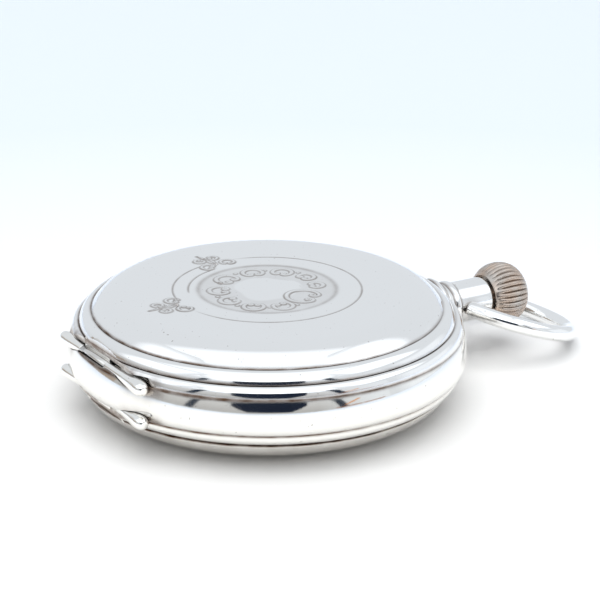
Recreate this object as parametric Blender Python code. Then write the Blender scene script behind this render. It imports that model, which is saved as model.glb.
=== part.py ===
"""Hunter pocket watch: a hinged lid, band, dust cover and back cover around a keyless lever movement.

Lengths are in millimetres and become metres where the meshes are made. Z runs up from the flat of
the back cover to the flat of the lid, X runs out along the pendant (3 o'clock) and Y points to 12.
"""
import math

import bmesh
import bpy
from mathutils import Matrix, Vector

MM = 0.001

# Driving dimensions
CASE_TOP = 14.6
BAND_RADIUS = 25.5
UPPER_SPLIT = 9.56
LOWER_SPLIT = 4.96
SPLIT_GAP = 0.05
SHEET = 0.55
STEM_Z = 7.1
HINGE_X = -23.7
LID_HINGE_Z = 9.5
BACK_HINGE_Z = 5.1
KNUCKLE_RADIUS = 0.75
PIN_RADIUS = 0.27
PIN_BORE = 0.33
BOW_PIVOT = (29.8, 0.0, 7.0)
BOW_RADIUS = 9.1
BOW_WIRE = 1.1
BOW_HALF_GAP = 3.2
BOW_PIP = 0.6
BOW_FLOOR_GAP = 0.1
LID_KNUCKLE = (-1.80, 4.67)
BACK_KNUCKLES = ((-4.67, -1.83), (1.43, 4.67))
CUVETTE_KNUCKLE = (-1.80, 1.40)
KNUCKLE_END = 4.72
KNUCKLE_SPACE = 0.86
LOCK_POCKET = (8.0, 60.0)
FLY_POCKET = (203.0, 255.0)
ROUND = 40
PLATE_ROUND = 32
SMALL_ROUND = 10
HINGE_ROUND = 12

# Heights of the movement's layers, from the back cover towards the dial
WHEELS_LOW, WHEELS_HIGH = 4.65, 5.25
BRIDGE_LOW, BRIDGE_HIGH = 5.3, 6.05
FOOT_TOP = 7.35
PLATE_LOW, PLATE_HIGH = 7.4, 8.85
COCK_LOW, COCK_HIGH = 3.9, 4.55
DIAL_LOW, DIAL_HIGH = 10.0, 10.55
MOVEMENT_RADIUS = 19.8

# Where the movement's arbors stand
CENTRE = (0.0, 0.0)
BARREL = (2.64, 9.85)
CROWN_WHEEL = (10.4, 0.0)
CLICK = (-8.6, 11.6)
THIRD = (1.56, -6.10)
FOURTH = (0.0, -10.6)
ESCAPE = (-4.6, -11.9)
BALANCE = (-10.4, -6.1)
PALLET = (-7.22, -9.28)
MINUTE_WHEEL = (2.95, -2.06)
SETTING_WHEEL = (7.58, -0.58)

# Tooth counts
BARREL_TEETH, CENTRE_LEAVES = 48, 8
CENTRE_TEETH, THIRD_LEAVES = 48, 6
THIRD_TEETH, FOURTH_LEAVES = 45, 6
FOURTH_TEETH, ESCAPE_LEAVES = 54, 6
ESCAPE_TEETH = 15
CROWN_TEETH, RATCHET_TEETH, WINDING_TEETH = 20, 30, 8
CANNON_LEAVES, MINUTE_TEETH = 10, 30
MINUTE_LEAVES, HOUR_TEETH = 8, 32
SETTING_TEETH = 24
ARBOR = 0.26

# Screws: where each bridge screw stands and the top of what it holds, and the case screws' bearings
BRIDGE_SCREWS = {
    "barrel_bridge_screw": ((-12.6, 12.0), BRIDGE_LOW),
    "train_bridge_screw": ((11.2, -13.2), BRIDGE_LOW),
    "balance_cock_screw": ((-16.2, 2.4), COCK_LOW),
}
CASE_SCREW_RADIUS = 19.1
CASE_SCREW_BEARINGS = {"case_screw_upper": 157.6, "case_screw_lower": -31.0}

SILVER = ("silver", (0.80, 0.80, 0.79), 1.0, 0.18)
GILT = ("gilt_brass", (0.78, 0.60, 0.30), 1.0, 0.30)
STEEL = ("steel", (0.56, 0.57, 0.58), 1.0, 0.25)
BLUED = ("blued_steel", (0.05, 0.08, 0.28), 1.0, 0.25)
NICKEL = ("nickel", (0.66, 0.64, 0.60), 1.0, 0.30)
ROSE = ("worn_gilt", (0.62, 0.50, 0.44), 1.0, 0.30)
ENAMEL = ("enamel", (0.92, 0.91, 0.88), 0.0, 0.20)
CRYSTAL = ("crystal", (0.95, 0.97, 0.98), 0.0, 0.05)


def clear_scene():
    for old in list(bpy.data.objects):
        bpy.data.objects.remove(old, do_unlink=True)


def make_material(name, look):
    _, colour, metallic, roughness = look
    made = bpy.data.materials.new(name + "_" + look[0])
    made.use_nodes = True
    shader = made.node_tree.nodes["Principled BSDF"]
    shader.inputs["Base Color"].default_value = (*colour, 1.0)
    shader.inputs["Metallic"].default_value = metallic
    shader.inputs["Roughness"].default_value = roughness
    return made


def add_piece(name, bm, look, origin=(0.0, 0.0, 0.0)):
    """Turn a millimetre bmesh into a metre object whose origin is on its joint's axis."""
    bmesh.ops.translate(bm, verts=bm.verts, vec=-Vector(origin))
    bmesh.ops.scale(bm, verts=bm.verts, vec=(MM, MM, MM))
    bmesh.ops.recalc_face_normals(bm, faces=bm.faces)
    mesh = bpy.data.meshes.new(name)
    bm.to_mesh(mesh)
    bm.free()
    mesh.shade_smooth()
    mesh.set_sharp_from_angle(angle=math.radians(35))
    piece = bpy.data.objects.new(name, mesh)
    piece.location = Vector(origin) * MM
    bpy.context.scene.collection.objects.link(piece)
    mesh.materials.append(make_material(name, look))
    return piece


def boolean(piece, bm, operation):
    """Cut or add a millimetre bmesh, kept as a hidden guide parented to the piece."""
    bmesh.ops.translate(bm, verts=bm.verts, vec=-Vector(piece.location) / MM)
    bmesh.ops.scale(bm, verts=bm.verts, vec=(MM, MM, MM))
    bmesh.ops.recalc_face_normals(bm, faces=bm.faces)
    number = len(piece.modifiers)
    mesh = bpy.data.meshes.new(f"{piece.name}_guide_{number}")
    bm.to_mesh(mesh)
    bm.free()
    guide = bpy.data.objects.new(mesh.name, mesh)
    guide.parent = piece
    guide.hide_render = True
    guide.display_type = "WIRE"
    bpy.context.scene.collection.objects.link(guide)
    modifier = piece.modifiers.new(operation.lower(), "BOOLEAN")
    modifier.operation = operation
    modifier.solver = "EXACT"
    modifier.object = guide


def cut(piece, *shapes):
    for shape in shapes:
        boolean(piece, shape, "DIFFERENCE")


def unite(piece, *shapes):
    for shape in shapes:
        boolean(piece, shape, "UNION")


def circle(radius, count, centre=(0.0, 0.0), phase=0.0):
    turns = [phase + 2 * math.pi * i / count for i in range(count)]
    return [(centre[0] + radius * math.cos(t), centre[1] + radius * math.sin(t)) for t in turns]


def arc(radius, start, end, count, centre=(0.0, 0.0)):
    """Points along an arc; start and end are in degrees."""
    turns = [math.radians(start + (end - start) * i / (count - 1)) for i in range(count)]
    return [(centre[0] + radius * math.cos(t), centre[1] + radius * math.sin(t)) for t in turns]


def on_arc(radius, bearing):
    t = math.radians(bearing)
    return (radius * math.cos(t), radius * math.sin(t))


def moved(points, centre):
    return [(x + centre[0], y + centre[1]) for x, y in points]


def turned(points, angle):
    c, s = math.cos(angle), math.sin(angle)
    return [(x * c - y * s, x * s + y * c) for x, y in points]


def loft(rings, bm=None):
    """Bridge rings of equal length; a ring of one point is a pole. The ends are capped."""
    bm = bm or bmesh.new()
    rows = [[bm.verts.new(point) for point in ring] for ring in rings]
    for low, high in zip(rows, rows[1:]):
        count = max(len(low), len(high))
        for i in range(count):
            j = (i + 1) % count
            if len(low) == 1:
                bm.faces.new((low[0], high[i], high[j]))
            elif len(high) == 1:
                bm.faces.new((low[i], low[j], high[0]))
            else:
                bm.faces.new((low[i], low[j], high[j], high[i]))
    if rings[0] != rings[-1]:
        for row in (rows[0], rows[-1]):
            if len(row) > 2:
                bm.faces.new(row)
    return bm


def lathe(profile, count=ROUND, closed=False, phase=0.0):
    """Turn (radius, height) points about Z. A closed profile leaves a hole through the middle.

    An end point on the axis, level with its neighbour, becomes one flat face.
    """
    profile = list(profile)
    for end, neighbour in ((0, 1), (-1, -2)):
        if profile[end][0] == 0 and profile[end][1] == profile[neighbour][1]:
            profile.pop(end)
    rings = []
    for radius, z in profile:
        flat = [(0.0, 0.0)] if radius == 0 else circle(radius, count, phase=phase)
        rings.append([(x, y, z) for x, y in flat])
    if closed:
        rings.append(rings[0])
    bm = loft(rings)
    if closed:
        bmesh.ops.remove_doubles(bm, verts=bm.verts, dist=1e-6)
    return bm


def ring_of(inner, outer, low, high, count=ROUND, phase=0.0):
    profile = [(outer, low), (outer, high), (inner, high), (inner, low)]
    return lathe(profile, count, closed=True, phase=phase)


def rod(radius, low, high, count=SMALL_ROUND, phase=0.0):
    return lathe([(0, low), (radius, low), (radius, high), (0, high)], count, phase=phase)


def joined(shapes):
    """Several shapes that don't meet, as one cutter."""
    whole = shapes[0]
    for shape in shapes[1:]:
        mesh = bpy.data.meshes.new("joined")
        shape.to_mesh(mesh)
        shape.free()
        whole.from_mesh(mesh)
        bpy.data.meshes.remove(mesh)
    return whole


def placed(bm, centre, axis="Z"):
    """Lay a Z-turned shape along X or Y and move it to its centre."""
    if axis == "X":
        bmesh.ops.rotate(bm, verts=bm.verts, matrix=Matrix.Rotation(math.pi / 2, 3, "Y"))
    if axis == "Y":
        bmesh.ops.rotate(bm, verts=bm.verts, matrix=Matrix.Rotation(-math.pi / 2, 3, "X"))
    bmesh.ops.translate(bm, verts=bm.verts, vec=centre if len(centre) == 3 else (*centre, 0.0))
    return bm


def prism(outline, low, high, holes=()):
    """Extrude a flat outline with holes from one height to another."""
    bm = bmesh.new()
    edges = []
    for loop in (outline, *holes):
        verts = [bm.verts.new((x, y, low)) for x, y in loop]
        edges += [bm.edges.new((a, b)) for a, b in zip(verts, verts[1:] + verts[:1])]
    bmesh.ops.triangle_fill(bm, use_beauty=True, use_dissolve=False, edges=edges, normal=(0, 0, 1))
    made = bmesh.ops.extrude_face_region(bm, geom=bm.faces[:])
    top = [v for v in made["geom"] if isinstance(v, bmesh.types.BMVert)]
    bmesh.ops.translate(bm, verts=top, vec=(0, 0, high - low))
    return bm


def side_prism(outline, start, end):
    """Extrude an (x, z) outline along Y."""
    bm = prism([(x, -z) for x, z in outline], start, end)
    bmesh.ops.rotate(bm, verts=bm.verts, matrix=Matrix.Rotation(-math.pi / 2, 3, "X"))
    return bm


def box(low, high):
    outline = [(low[0], low[1]), (high[0], low[1]), (high[0], high[1]), (low[0], high[1])]
    return prism(outline, low[2], high[2])


def capsule(a, b, radius, count=6):
    heading = math.degrees(math.atan2(b[1] - a[1], b[0] - a[0]))
    start = arc(radius, heading + 90, heading + 270, count, a)
    return start + arc(radius, heading - 90, heading + 90, count, b)


def pitch_radius(distance, teeth, other):
    return distance * teeth / (teeth + other)


def toothed(teeth, radius, phase=0.0, leaf=False):
    """Outline of a wheel with pointed teeth, or of a pinion with narrow flat-topped leaves."""
    module = 2 * radius / teeth
    pitch = 2 * math.pi / teeth
    root = radius - 1.2 * module
    tip = radius + (0.55 if leaf else 0.85) * module
    shape = [(-0.27, root), (-0.11, tip), (0.11, tip), (0.27, root)]
    if not leaf:
        shape = [(-0.38, root), (0.0, tip), (0.38, root)]
    points = []
    for i in range(teeth):
        for share, r in shape:
            angle = phase + (i + share) * pitch
            points.append((r * math.cos(angle), r * math.sin(angle)))
    return points


def heading(a, b):
    return math.atan2(b[1] - a[1], b[0] - a[0])


def mating_phase(a, b, teeth_a, teeth_b, phase_a):
    """Tooth phase of wheel b that sets its gaps on the teeth of wheel a at rest."""
    towards = heading(a, b)
    return towards + math.pi - (phase_a - towards) * teeth_a / teeth_b + math.pi / teeth_b


def stacked(sections, centre=(0.0, 0.0)):
    """Rings of one angular spacing: each section is a height and a radius or a toothed outline."""
    outline = next(part for _, part in sections if isinstance(part, list))
    angles = [math.atan2(y, x) for x, y in outline]
    rings = []
    for z, part in sections:
        flat = part
        if not isinstance(part, list):
            flat = [(part * math.cos(t), part * math.sin(t)) for t in angles]
        rings.append([(x, y, z) for x, y in moved(flat, centre)])
    bm = loft(rings)
    if rings[0] == rings[-1]:
        bmesh.ops.remove_doubles(bm, verts=bm.verts, dist=1e-6)
    return bm


def windows(inner, outer, spokes, width, steps=4):
    """Openings between the spokes of a wheel."""
    loops = []
    for i in range(spokes):
        mid = 360.0 * (i + 0.5) / spokes
        half_out = 180.0 / spokes - math.degrees(width / outer)
        half_in = 180.0 / spokes - math.degrees(width / inner)
        out = arc(outer, mid - half_out, mid + half_out, steps)
        loops.append(out + arc(inner, mid + half_in, mid - half_in, 3))
    return loops


# Case


def band_profile():
    outside = [(24.75, UPPER_SPLIT), (25.25, 8.6), (BAND_RADIUS, 7.2), (25.25, 5.8), (24.75, LOWER_SPLIT)]
    lower_flange = [(22.7, LOWER_SPLIT), (22.7, 4.2), (21.4, 4.2)]
    ledge = [(21.4, 7.35), (20.4, 7.35), (20.4, 7.95), (21.4, 7.95)]
    upper_flange = [(21.4, 10.9), (22.5, 10.9), (22.5, UPPER_SPLIT)]
    return outside + lower_flange + ledge + upper_flange


def knuckle(start, end):
    return ring_of(PIN_BORE, KNUCKLE_RADIUS, start, end, HINGE_ROUND)


def teardrop(side, start):
    """An outer knuckle that swells and runs out to a point."""
    profile = [(0, start), (KNUCKLE_RADIUS, start), (0.8, 5.6), (1.05, 8.0), (0.8, 10.2), (0, 11.3)]
    return lathe([(r, side * y) for r, y in profile], HINGE_ROUND)


def at_hinge(bm, hinge_z):
    return placed(bm, (HINGE_X, 0.0, hinge_z), "Y")


def sector_strip(inner, outer, low, high, start, end, steps):
    outline = arc(outer, start, end, steps) + arc(inner, end, start, steps)
    return prism(outline, low, high)


def make_case_middle():
    piece = add_piece("case_middle", lathe(band_profile(), closed=True), SILVER)
    lid_start = LID_KNUCKLE[0] - SPLIT_GAP
    lid_gap = rod(KNUCKLE_SPACE, lid_start, KNUCKLE_END, HINGE_ROUND)
    back_gap = rod(KNUCKLE_SPACE, -KNUCKLE_END, KNUCKLE_END, HINGE_ROUND)
    cut(piece, at_hinge(lid_gap, LID_HINGE_Z), at_hinge(back_gap, BACK_HINGE_Z))
    unite(piece, at_hinge(teardrop(1, KNUCKLE_END), LID_HINGE_Z))
    unite(piece, at_hinge(teardrop(-1, -lid_start), LID_HINGE_Z))
    unite(piece, at_hinge(teardrop(1, KNUCKLE_END), BACK_HINGE_Z))
    unite(piece, at_hinge(teardrop(-1, KNUCKLE_END), BACK_HINGE_Z))
    for hinge_z in (LID_HINGE_Z, BACK_HINGE_Z):
        cut(piece, at_hinge(rod(PIN_BORE, -9.0, 9.0, HINGE_ROUND), hinge_z))
    cut(piece, placed(rod(1.92, 19.0, 27.0, 12), (0, 0, STEM_Z), "X"))
    cut(piece, sector_strip(22.8, 24.15, 6.2, 9.9, *LOCK_POCKET, 6))
    cut(piece, sector_strip(22.8, 24.15, 6.2, 9.9, *FLY_POCKET, 6))


def make_front_cover():
    outside = [(0, CASE_TOP), (20.3, CASE_TOP), (21.6, 14.15), (22.15, 13.2), (22.3, 12.48)]
    outside += [(23.4, 12.2), (23.9, 11.04), (24.75, 10.75), (25.0, 9.61)]
    inside = [(24.45, 9.61), (24.2, 10.35), (23.35, 10.65), (22.9, 11.75), (21.75, 12.15)]
    inside += [(21.4, 13.3), (20.2, CASE_TOP - SHEET), (0, CASE_TOP - SHEET)]
    piece = add_piece("front_cover", lathe(outside + inside), SILVER, (HINGE_X, 0.0, LID_HINGE_Z))
    cut(piece, box((-27.0, -11.6, 9.0), (-22.55, 11.6, 10.95)))
    cut(piece, box((-27.0, -11.6, 10.5), (-23.75, 11.6, 12.5)))
    strap = [(0.12, 0.4), (0.62, 0.4), (0.62, 1.3), (1.4, 1.9), (1.4, 2.3), (0.6, 2.1), (0.12, 1.6)]
    strap = [(HINGE_X + x, LID_HINGE_Z + z) for x, z in strap]
    unite(piece, side_prism(strap, *LID_KNUCKLE))
    unite(piece, at_hinge(knuckle(*LID_KNUCKLE), LID_HINGE_Z))


def make_back_cover():
    outside = [(24.73, 4.91), (24.6, 4.2), (23.67, 3.31), (23.6, 2.4), (23.1, 1.5), (21.9, 0.45)]
    outside += [(20.0, 0.0), (0, 0.0)]
    inside = [(0, SHEET), (19.9, SHEET), (21.6, 0.95), (22.6, 1.9), (23.0, 3.55), (24.15, 4.5)]
    inside.append((24.15, 4.91))
    piece = add_piece("back_cover", lathe(inside + outside), SILVER, (HINGE_X, 0.0, BACK_HINGE_Z))
    cut(piece, box((-27.0, -11.6, 3.65), (-22.55, 11.6, 5.5)))
    cut(piece, box((-27.0, -11.6, 3.0), (-23.72, 11.6, 4.0)))
    strap = [(0.12, 0.4), (0.62, 0.4), (0.62, 1.2), (1.3, 1.6), (1.3, 2.2), (0.5, 2.2), (0.12, 1.6)]
    strap = [(HINGE_X + x, BACK_HINGE_Z - z) for x, z in strap]
    for span in BACK_KNUCKLES:
        unite(piece, side_prism(strap, *span), at_hinge(knuckle(*span), BACK_HINGE_Z))


def make_cuvette():
    profile = [(0, 2.4), (21.8, 2.4), (22.3, 2.7), (22.45, 3.2), (22.45, 4.1), (22.0, 4.1), (21.9, 3.1)]
    profile += [(21.5, 2.85), (0, 2.85)]
    piece = add_piece("cuvette", lathe(profile), SILVER, (HINGE_X, 0.0, BACK_HINGE_Z))
    strap = [(0.12, 0.4), (0.62, 0.4), (0.62, 1.0), (1.55, 1.0), (1.55, 1.32), (0.12, 1.32)]
    strap = [(HINGE_X + x, BACK_HINGE_Z - z) for x, z in strap]
    unite(piece, side_prism(strap, *CUVETTE_KNUCKLE), at_hinge(knuckle(*CUVETTE_KNUCKLE), BACK_HINGE_Z))


def make_bezel_and_crystal():
    profile = [(22.56, 9.7), (22.88, 9.7), (22.88, 10.8), (20.95, 12.0)]
    profile += [(20.95, 11.2), (20.3, 11.2), (20.3, 10.95), (22.56, 10.95)]
    add_piece("bezel", lathe(profile, closed=True), SILVER)
    top = [(0, 13.4), (11.5, 13.0), (20.2, 11.7), (20.9, 11.7)]
    under = [(20.9, 11.25), (11.5, 12.5), (0, 12.9)]
    add_piece("crystal", lathe(top + under), CRYSTAL)


def make_hinge_pins():
    for name, z in (("front_hinge_pin", LID_HINGE_Z), ("back_hinge_pin", BACK_HINGE_Z)):
        add_piece(name, at_hinge(rod(PIN_RADIUS, -8.85, 8.85), z), STEEL, (HINGE_X, 0.0, z))


def make_pendant():
    profile = [(1.3, 22.4), (1.83, 22.4), (1.83, 25.62), (3.85, 25.62), (3.92, 25.9), (3.3, 26.35)]
    profile += [(2.95, 26.9), (2.86, 27.6), (2.8, 32.2), (2.76, 33.3), (2.6, 33.6), (1.3, 33.6)]
    piece = add_piece("pendant", placed(lathe(profile, 20, closed=True), (0, 0, STEM_Z), "X"), SILVER)
    for side in (-1, 1):
        ends = sorted((side * 1.95, side * 4.0))
        cut(piece, placed(rod(0.7, *ends), BOW_PIVOT, "Y"))


def bow_drop():
    """Angle at which the bow hangs to just above the surface that the watch lies on."""
    reach = math.sqrt(BOW_RADIUS ** 2 - BOW_HALF_GAP ** 2) + BOW_RADIUS
    return math.asin((BOW_PIVOT[2] - BOW_WIRE - BOW_FLOOR_GAP) / reach)


def bow_path():
    """Centre line and wire radius, from one pip round the loop to the other, flat in (u, v)."""
    offset = math.sqrt(BOW_RADIUS ** 2 - BOW_HALF_GAP ** 2)
    first = math.asin((BOW_HALF_GAP + 0.18) / BOW_RADIUS)
    steps = 25
    angles = [first + (2 * math.pi - 2 * first) * i / steps for i in range(steps + 1)]
    loop = [(offset - BOW_RADIUS * math.cos(t), BOW_RADIUS * math.sin(t), BOW_WIRE) for t in angles]
    pip = [(0.0, 2.1, BOW_PIP), (0.0, 2.95, BOW_PIP), (0.0, 2.97, 1.0)]
    return pip + loop + [(u, -v, radius) for u, v, radius in reversed(pip)]


def make_bow():
    """A round wire bent to a circle, its ends turned in to pips that sit in the neck."""
    path = bow_path()
    up = Vector((0.0, 0.0, 1.0))
    rings = []
    for i, (u, v, radius) in enumerate(path):
        along = Vector((0.0, 1.0, 0.0))
        if 3 <= i < len(path) - 3:
            before = Vector((*path[max(i - 1, 3)][:2], 0.0))
            after = Vector((*path[min(i + 1, len(path) - 4)][:2], 0.0))
            along = (after - before).normalized()
        side = Vector((along.y, -along.x, 0.0))
        turns = [2 * math.pi * (k + 0.5) / 8 for k in range(8)]
        spot = Vector((u, v, 0.0))
        rings.append([tuple(spot + radius * (math.cos(t) * side + math.sin(t) * up)) for t in turns])
    bm = loft(rings)
    bmesh.ops.rotate(bm, verts=bm.verts, matrix=Matrix.Rotation(bow_drop(), 3, "Y"))
    bmesh.ops.translate(bm, verts=bm.verts, vec=BOW_PIVOT)
    add_piece("bow", bm, SILVER, BOW_PIVOT)


def make_crown():
    """Hollow ribbed knob with a pipe that runs in the pendant's bore."""
    count = 32
    smooth = [(36.5, 0), (36.5, 0.66), (30.5, 0.66), (30.5, 1.2), (34.6, 1.2), (34.6, 2.9), (33.7, 2.9)]
    smooth += [(33.7, 3.08), (34.1, 3.2)]
    ribbed = [(34.5, 3.6), (35.5, 4.1), (36.7, 4.2), (38.2, 3.8), (39.0, 2.9)]
    rings = []
    for x, r in smooth + ribbed + [(39.45, 1.6), (39.6, 0)]:
        depth = 0.22 if (x, r) in ribbed else 0.0
        flat = []
        for i in range(count):
            t = 2 * math.pi * i / count
            reach = r - depth * (i % 2)
            flat.append((x, reach * math.cos(t), STEM_Z + reach * math.sin(t)))
        rings.append([(x, 0.0, STEM_Z)] if r == 0 else flat)
    add_piece("crown", loft(rings), ROSE, (0.0, 0.0, STEM_Z))


def make_case_springs():
    """Lock spring behind the pendant, its nose free of the lid's lip, and the lift spring by the hinge."""
    low, width = 6.4, (23.35, 23.8)
    for name, start, end, high in (("lock_spring", 10.0, 58.0, 9.2), ("fly_spring", 205.0, 253.0, 9.3)):
        root = (*on_arc(23.6, end), 8.0)
        piece = add_piece(name, sector_strip(*width, low, high, start, end, 7), STEEL, root)
        if name == "lock_spring":
            unite(piece, sector_strip(23.45, 24.0, 8.8, 10.3, start, start + 6, 4))


# Winding and hand-setting work


def make_stem():
    groove = [(0.6, 17.0), (0.35, 17.0), (0.35, 17.8), (0.6, 17.8)]
    profile = [(0, 11.0), (0.6, 11.0), *groove, (0.6, 35.8), (0, 35.8)]
    add_piece("winding_stem", along_x(lathe(profile, SMALL_ROUND)), STEEL, (0, 0, STEM_Z))


def crown_wheel_radius():
    distance = math.dist(CROWN_WHEEL, BARREL)
    return pitch_radius(distance, CROWN_TEETH, RATCHET_TEETH)


def along_x(bm):
    return placed(bm, (0.0, 0.0, STEM_Z), "X")


def make_keyless_pinions():
    radius = crown_wheel_radius() * WINDING_TEETH / CROWN_TEETH
    outline = toothed(WINDING_TEETH, radius, math.pi / WINDING_TEETH, leaf=True)
    sections = [(15.05, 0.66), (15.05, outline), (15.65, outline), (15.65, 1.3), (16.6, 1.3)]
    sections += [(16.6, 0.66), (15.05, 0.66)]
    add_piece("winding_pinion", along_x(stacked(sections)), STEEL, (0, 0, STEM_Z))
    profile = [(0.66, 13.0), (1.6, 13.0), (1.6, 13.45), (1.1, 13.45), (1.1, 14.25), (1.6, 14.25)]
    profile += [(1.6, 14.9), (0.66, 14.9)]
    add_piece("sliding_pinion", along_x(lathe(profile, SMALL_ROUND, closed=True)), STEEL, (0, 0, STEM_Z))


def make_levers():
    """Setting lever and clutch lever under the dial; each drops a pin into a groove on the stem."""
    pivot, nose = (17.2, -5.0), (17.4, 0.0)
    shape = prism(capsule(pivot, nose, 0.8), 8.95, 9.35, [circle(0.35, 8, pivot)])
    lever = add_piece("setting_lever", shape, STEEL, (*pivot, 9.0))
    unite(lever, placed(rod(0.22, 7.58, 9.1, 8), nose))
    add_piece("setting_lever_screw", placed(rod(0.3, 8.9, 9.7, 8), pivot), STEEL)
    pivot, nose = (13.5, -6.0), (13.85, 0.0)
    shape = prism(capsule(pivot, nose, 0.6), 8.95, 9.35, [circle(0.35, 8, pivot)])
    lever = add_piece("clutch_lever", shape, STEEL, (*pivot, 9.0))
    unite(lever, placed(rod(0.22, 8.3, 9.1, 8), nose))


def make_winding_wheels():
    radius = crown_wheel_radius()
    outline = moved(toothed(CROWN_TEETH, radius, 0.0), CROWN_WHEEL)
    add_piece("crown_wheel", prism(outline, WHEELS_LOW, WHEELS_HIGH, [circle(1.0, 12, CROWN_WHEEL)]), STEEL,
              (*CROWN_WHEEL, WHEELS_LOW))
    phase = mating_phase(CROWN_WHEEL, BARREL, CROWN_TEETH, RATCHET_TEETH, 0.0)
    big = radius * RATCHET_TEETH / CROWN_TEETH
    outline = moved(toothed(RATCHET_TEETH, big, phase), BARREL)
    add_piece("ratchet_wheel", prism(outline, WHEELS_LOW, WHEELS_HIGH, [circle(0.75, 12, BARREL)]), STEEL,
              (*BARREL, WHEELS_LOW))
    screw = [(0, 4.2), (1.7, 4.2), (1.7, 4.6), (0.9, 4.6), (0.9, 5.28), (0.45, 5.28), (0.45, 7.2), (0, 7.2)]
    add_piece("crown_wheel_screw", placed(lathe(screw, SMALL_ROUND), CROWN_WHEEL), BLUED)
    click = [(-0.7, -0.6), (0.7, -0.6), (0.6, 1.0), (0.15, 3.1), (-0.35, 2.9), (-0.8, 0.7)]
    aim = heading(CLICK, BARREL) - math.pi / 2 + math.radians(20)
    click = moved(turned(click, aim), CLICK)
    add_piece("click", prism(click, WHEELS_LOW, WHEELS_HIGH, [circle(0.3, 8, CLICK)]), STEEL,
              (*CLICK, WHEELS_LOW))
    add_piece("click_screw", placed(rod(0.24, 4.5, 6.6, 8), CLICK), BLUED)


# Power


def make_barrel():
    radius = pitch_radius(math.dist(BARREL, CENTRE), BARREL_TEETH, CENTRE_LEAVES)
    phase = heading(BARREL, CENTRE)
    rim = prism(moved(toothed(BARREL_TEETH, radius, phase), BARREL), 6.65, 7.1, [circle(7.9, 24, BARREL)])
    drum = [(8.1, 6.6), (8.1, 8.2), (0.86, 8.2), (0.86, 7.95), (7.7, 7.95), (7.7, 6.6)]
    drum = placed(lathe(drum, 24, closed=True), BARREL)
    piece = add_piece("mainspring_barrel", drum, GILT, (*BARREL, 6.6))
    unite(piece, rim)
    add_piece("barrel_cover", placed(ring_of(0.86, 7.3, 6.65, 6.85, 24), BARREL), GILT, (*BARREL, 6.6))
    arbor = [(0, 4.6), (0.7, 4.6), (0.7, 6.9), (1.5, 6.9), (1.5, 7.9), (0.7, 7.9), (0.7, 8.6), (0, 8.6)]
    add_piece("barrel_arbor", placed(lathe(arbor, SMALL_ROUND), BARREL), STEEL, (*BARREL, 6.6))


def spiral_strip(centre, inner, outer, turns, width, low, high, per_turn):
    """A flat strip wound on itself, with square ends."""
    steps = int(turns * per_turn)
    rings = []
    for i in range(steps + 1):
        t = 2 * math.pi * i / per_turn
        r = inner + (outer - inner) * i / steps
        flat = [(r, low), (r + width, low), (r + width, high), (r, high)]
        rings.append([(centre[0] + a * math.cos(t), centre[1] + a * math.sin(t), z) for a, z in flat])
    return loft(rings)


# Going train


def wheel(name, spot, teeth, radius, phase, low, high, bore, spokes=0, look=GILT):
    holes = [circle(bore, 8)]
    if spokes:
        holes += windows(bore + 0.55, radius * 0.78, spokes, 0.35)
    bm = prism(toothed(teeth, radius, phase), low, high, holes)
    add_piece(name, placed(bm, spot), look, (*spot, low))


def pinion(name, spot, leaves, radius, phase, ends, leaf_span, arbor, look=STEEL):
    outline = toothed(leaves, radius, phase, leaf=True)
    sections = [(ends[0], arbor), (leaf_span[0], arbor), (leaf_span[0], outline), (leaf_span[1], outline)]
    sections += [(leaf_span[1], arbor), (ends[1], arbor)]
    add_piece(name, stacked(sections, spot), look, (*spot, leaf_span[0]))


def drive(big, little, a, b, counts, low, bore, top=8.3):
    """A wheel at a and the pinion at b that it turns; the pinion's arbor runs up to its top."""
    teeth, leaves = counts
    distance = math.dist(a, b)
    towards = heading(a, b)
    wheel(big, a, teeth, pitch_radius(distance, teeth, leaves), towards, low, low + 0.25, bore, 4)
    phase = mating_phase(a, b, teeth, leaves, towards)
    span = (low - 0.05, min(low + 0.34, FOOT_TOP))
    pinion(little, b, leaves, pitch_radius(distance, leaves, teeth), phase, (5.4, top), span, ARBOR)


def make_going_train():
    small = pitch_radius(math.dist(BARREL, CENTRE), CENTRE_LEAVES, BARREL_TEETH)
    phase = mating_phase(BARREL, CENTRE, BARREL_TEETH, CENTRE_LEAVES, heading(BARREL, CENTRE))
    pinion("centre_pinion", CENTRE, CENTRE_LEAVES, small, phase, (5.4, 11.75), (6.55, 7.15), 0.38)
    drive("centre_wheel", "third_pinion", CENTRE, THIRD, (CENTRE_TEETH, THIRD_LEAVES), 6.15, 0.42)
    drive("third_wheel", "fourth_pinion", THIRD, FOURTH, (THIRD_TEETH, FOURTH_LEAVES), 6.7, 0.32, top=11.1)
    drive("fourth_wheel", "escape_pinion", FOURTH, ESCAPE, (FOURTH_TEETH, ESCAPE_LEAVES), 7.06, 0.32)


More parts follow.
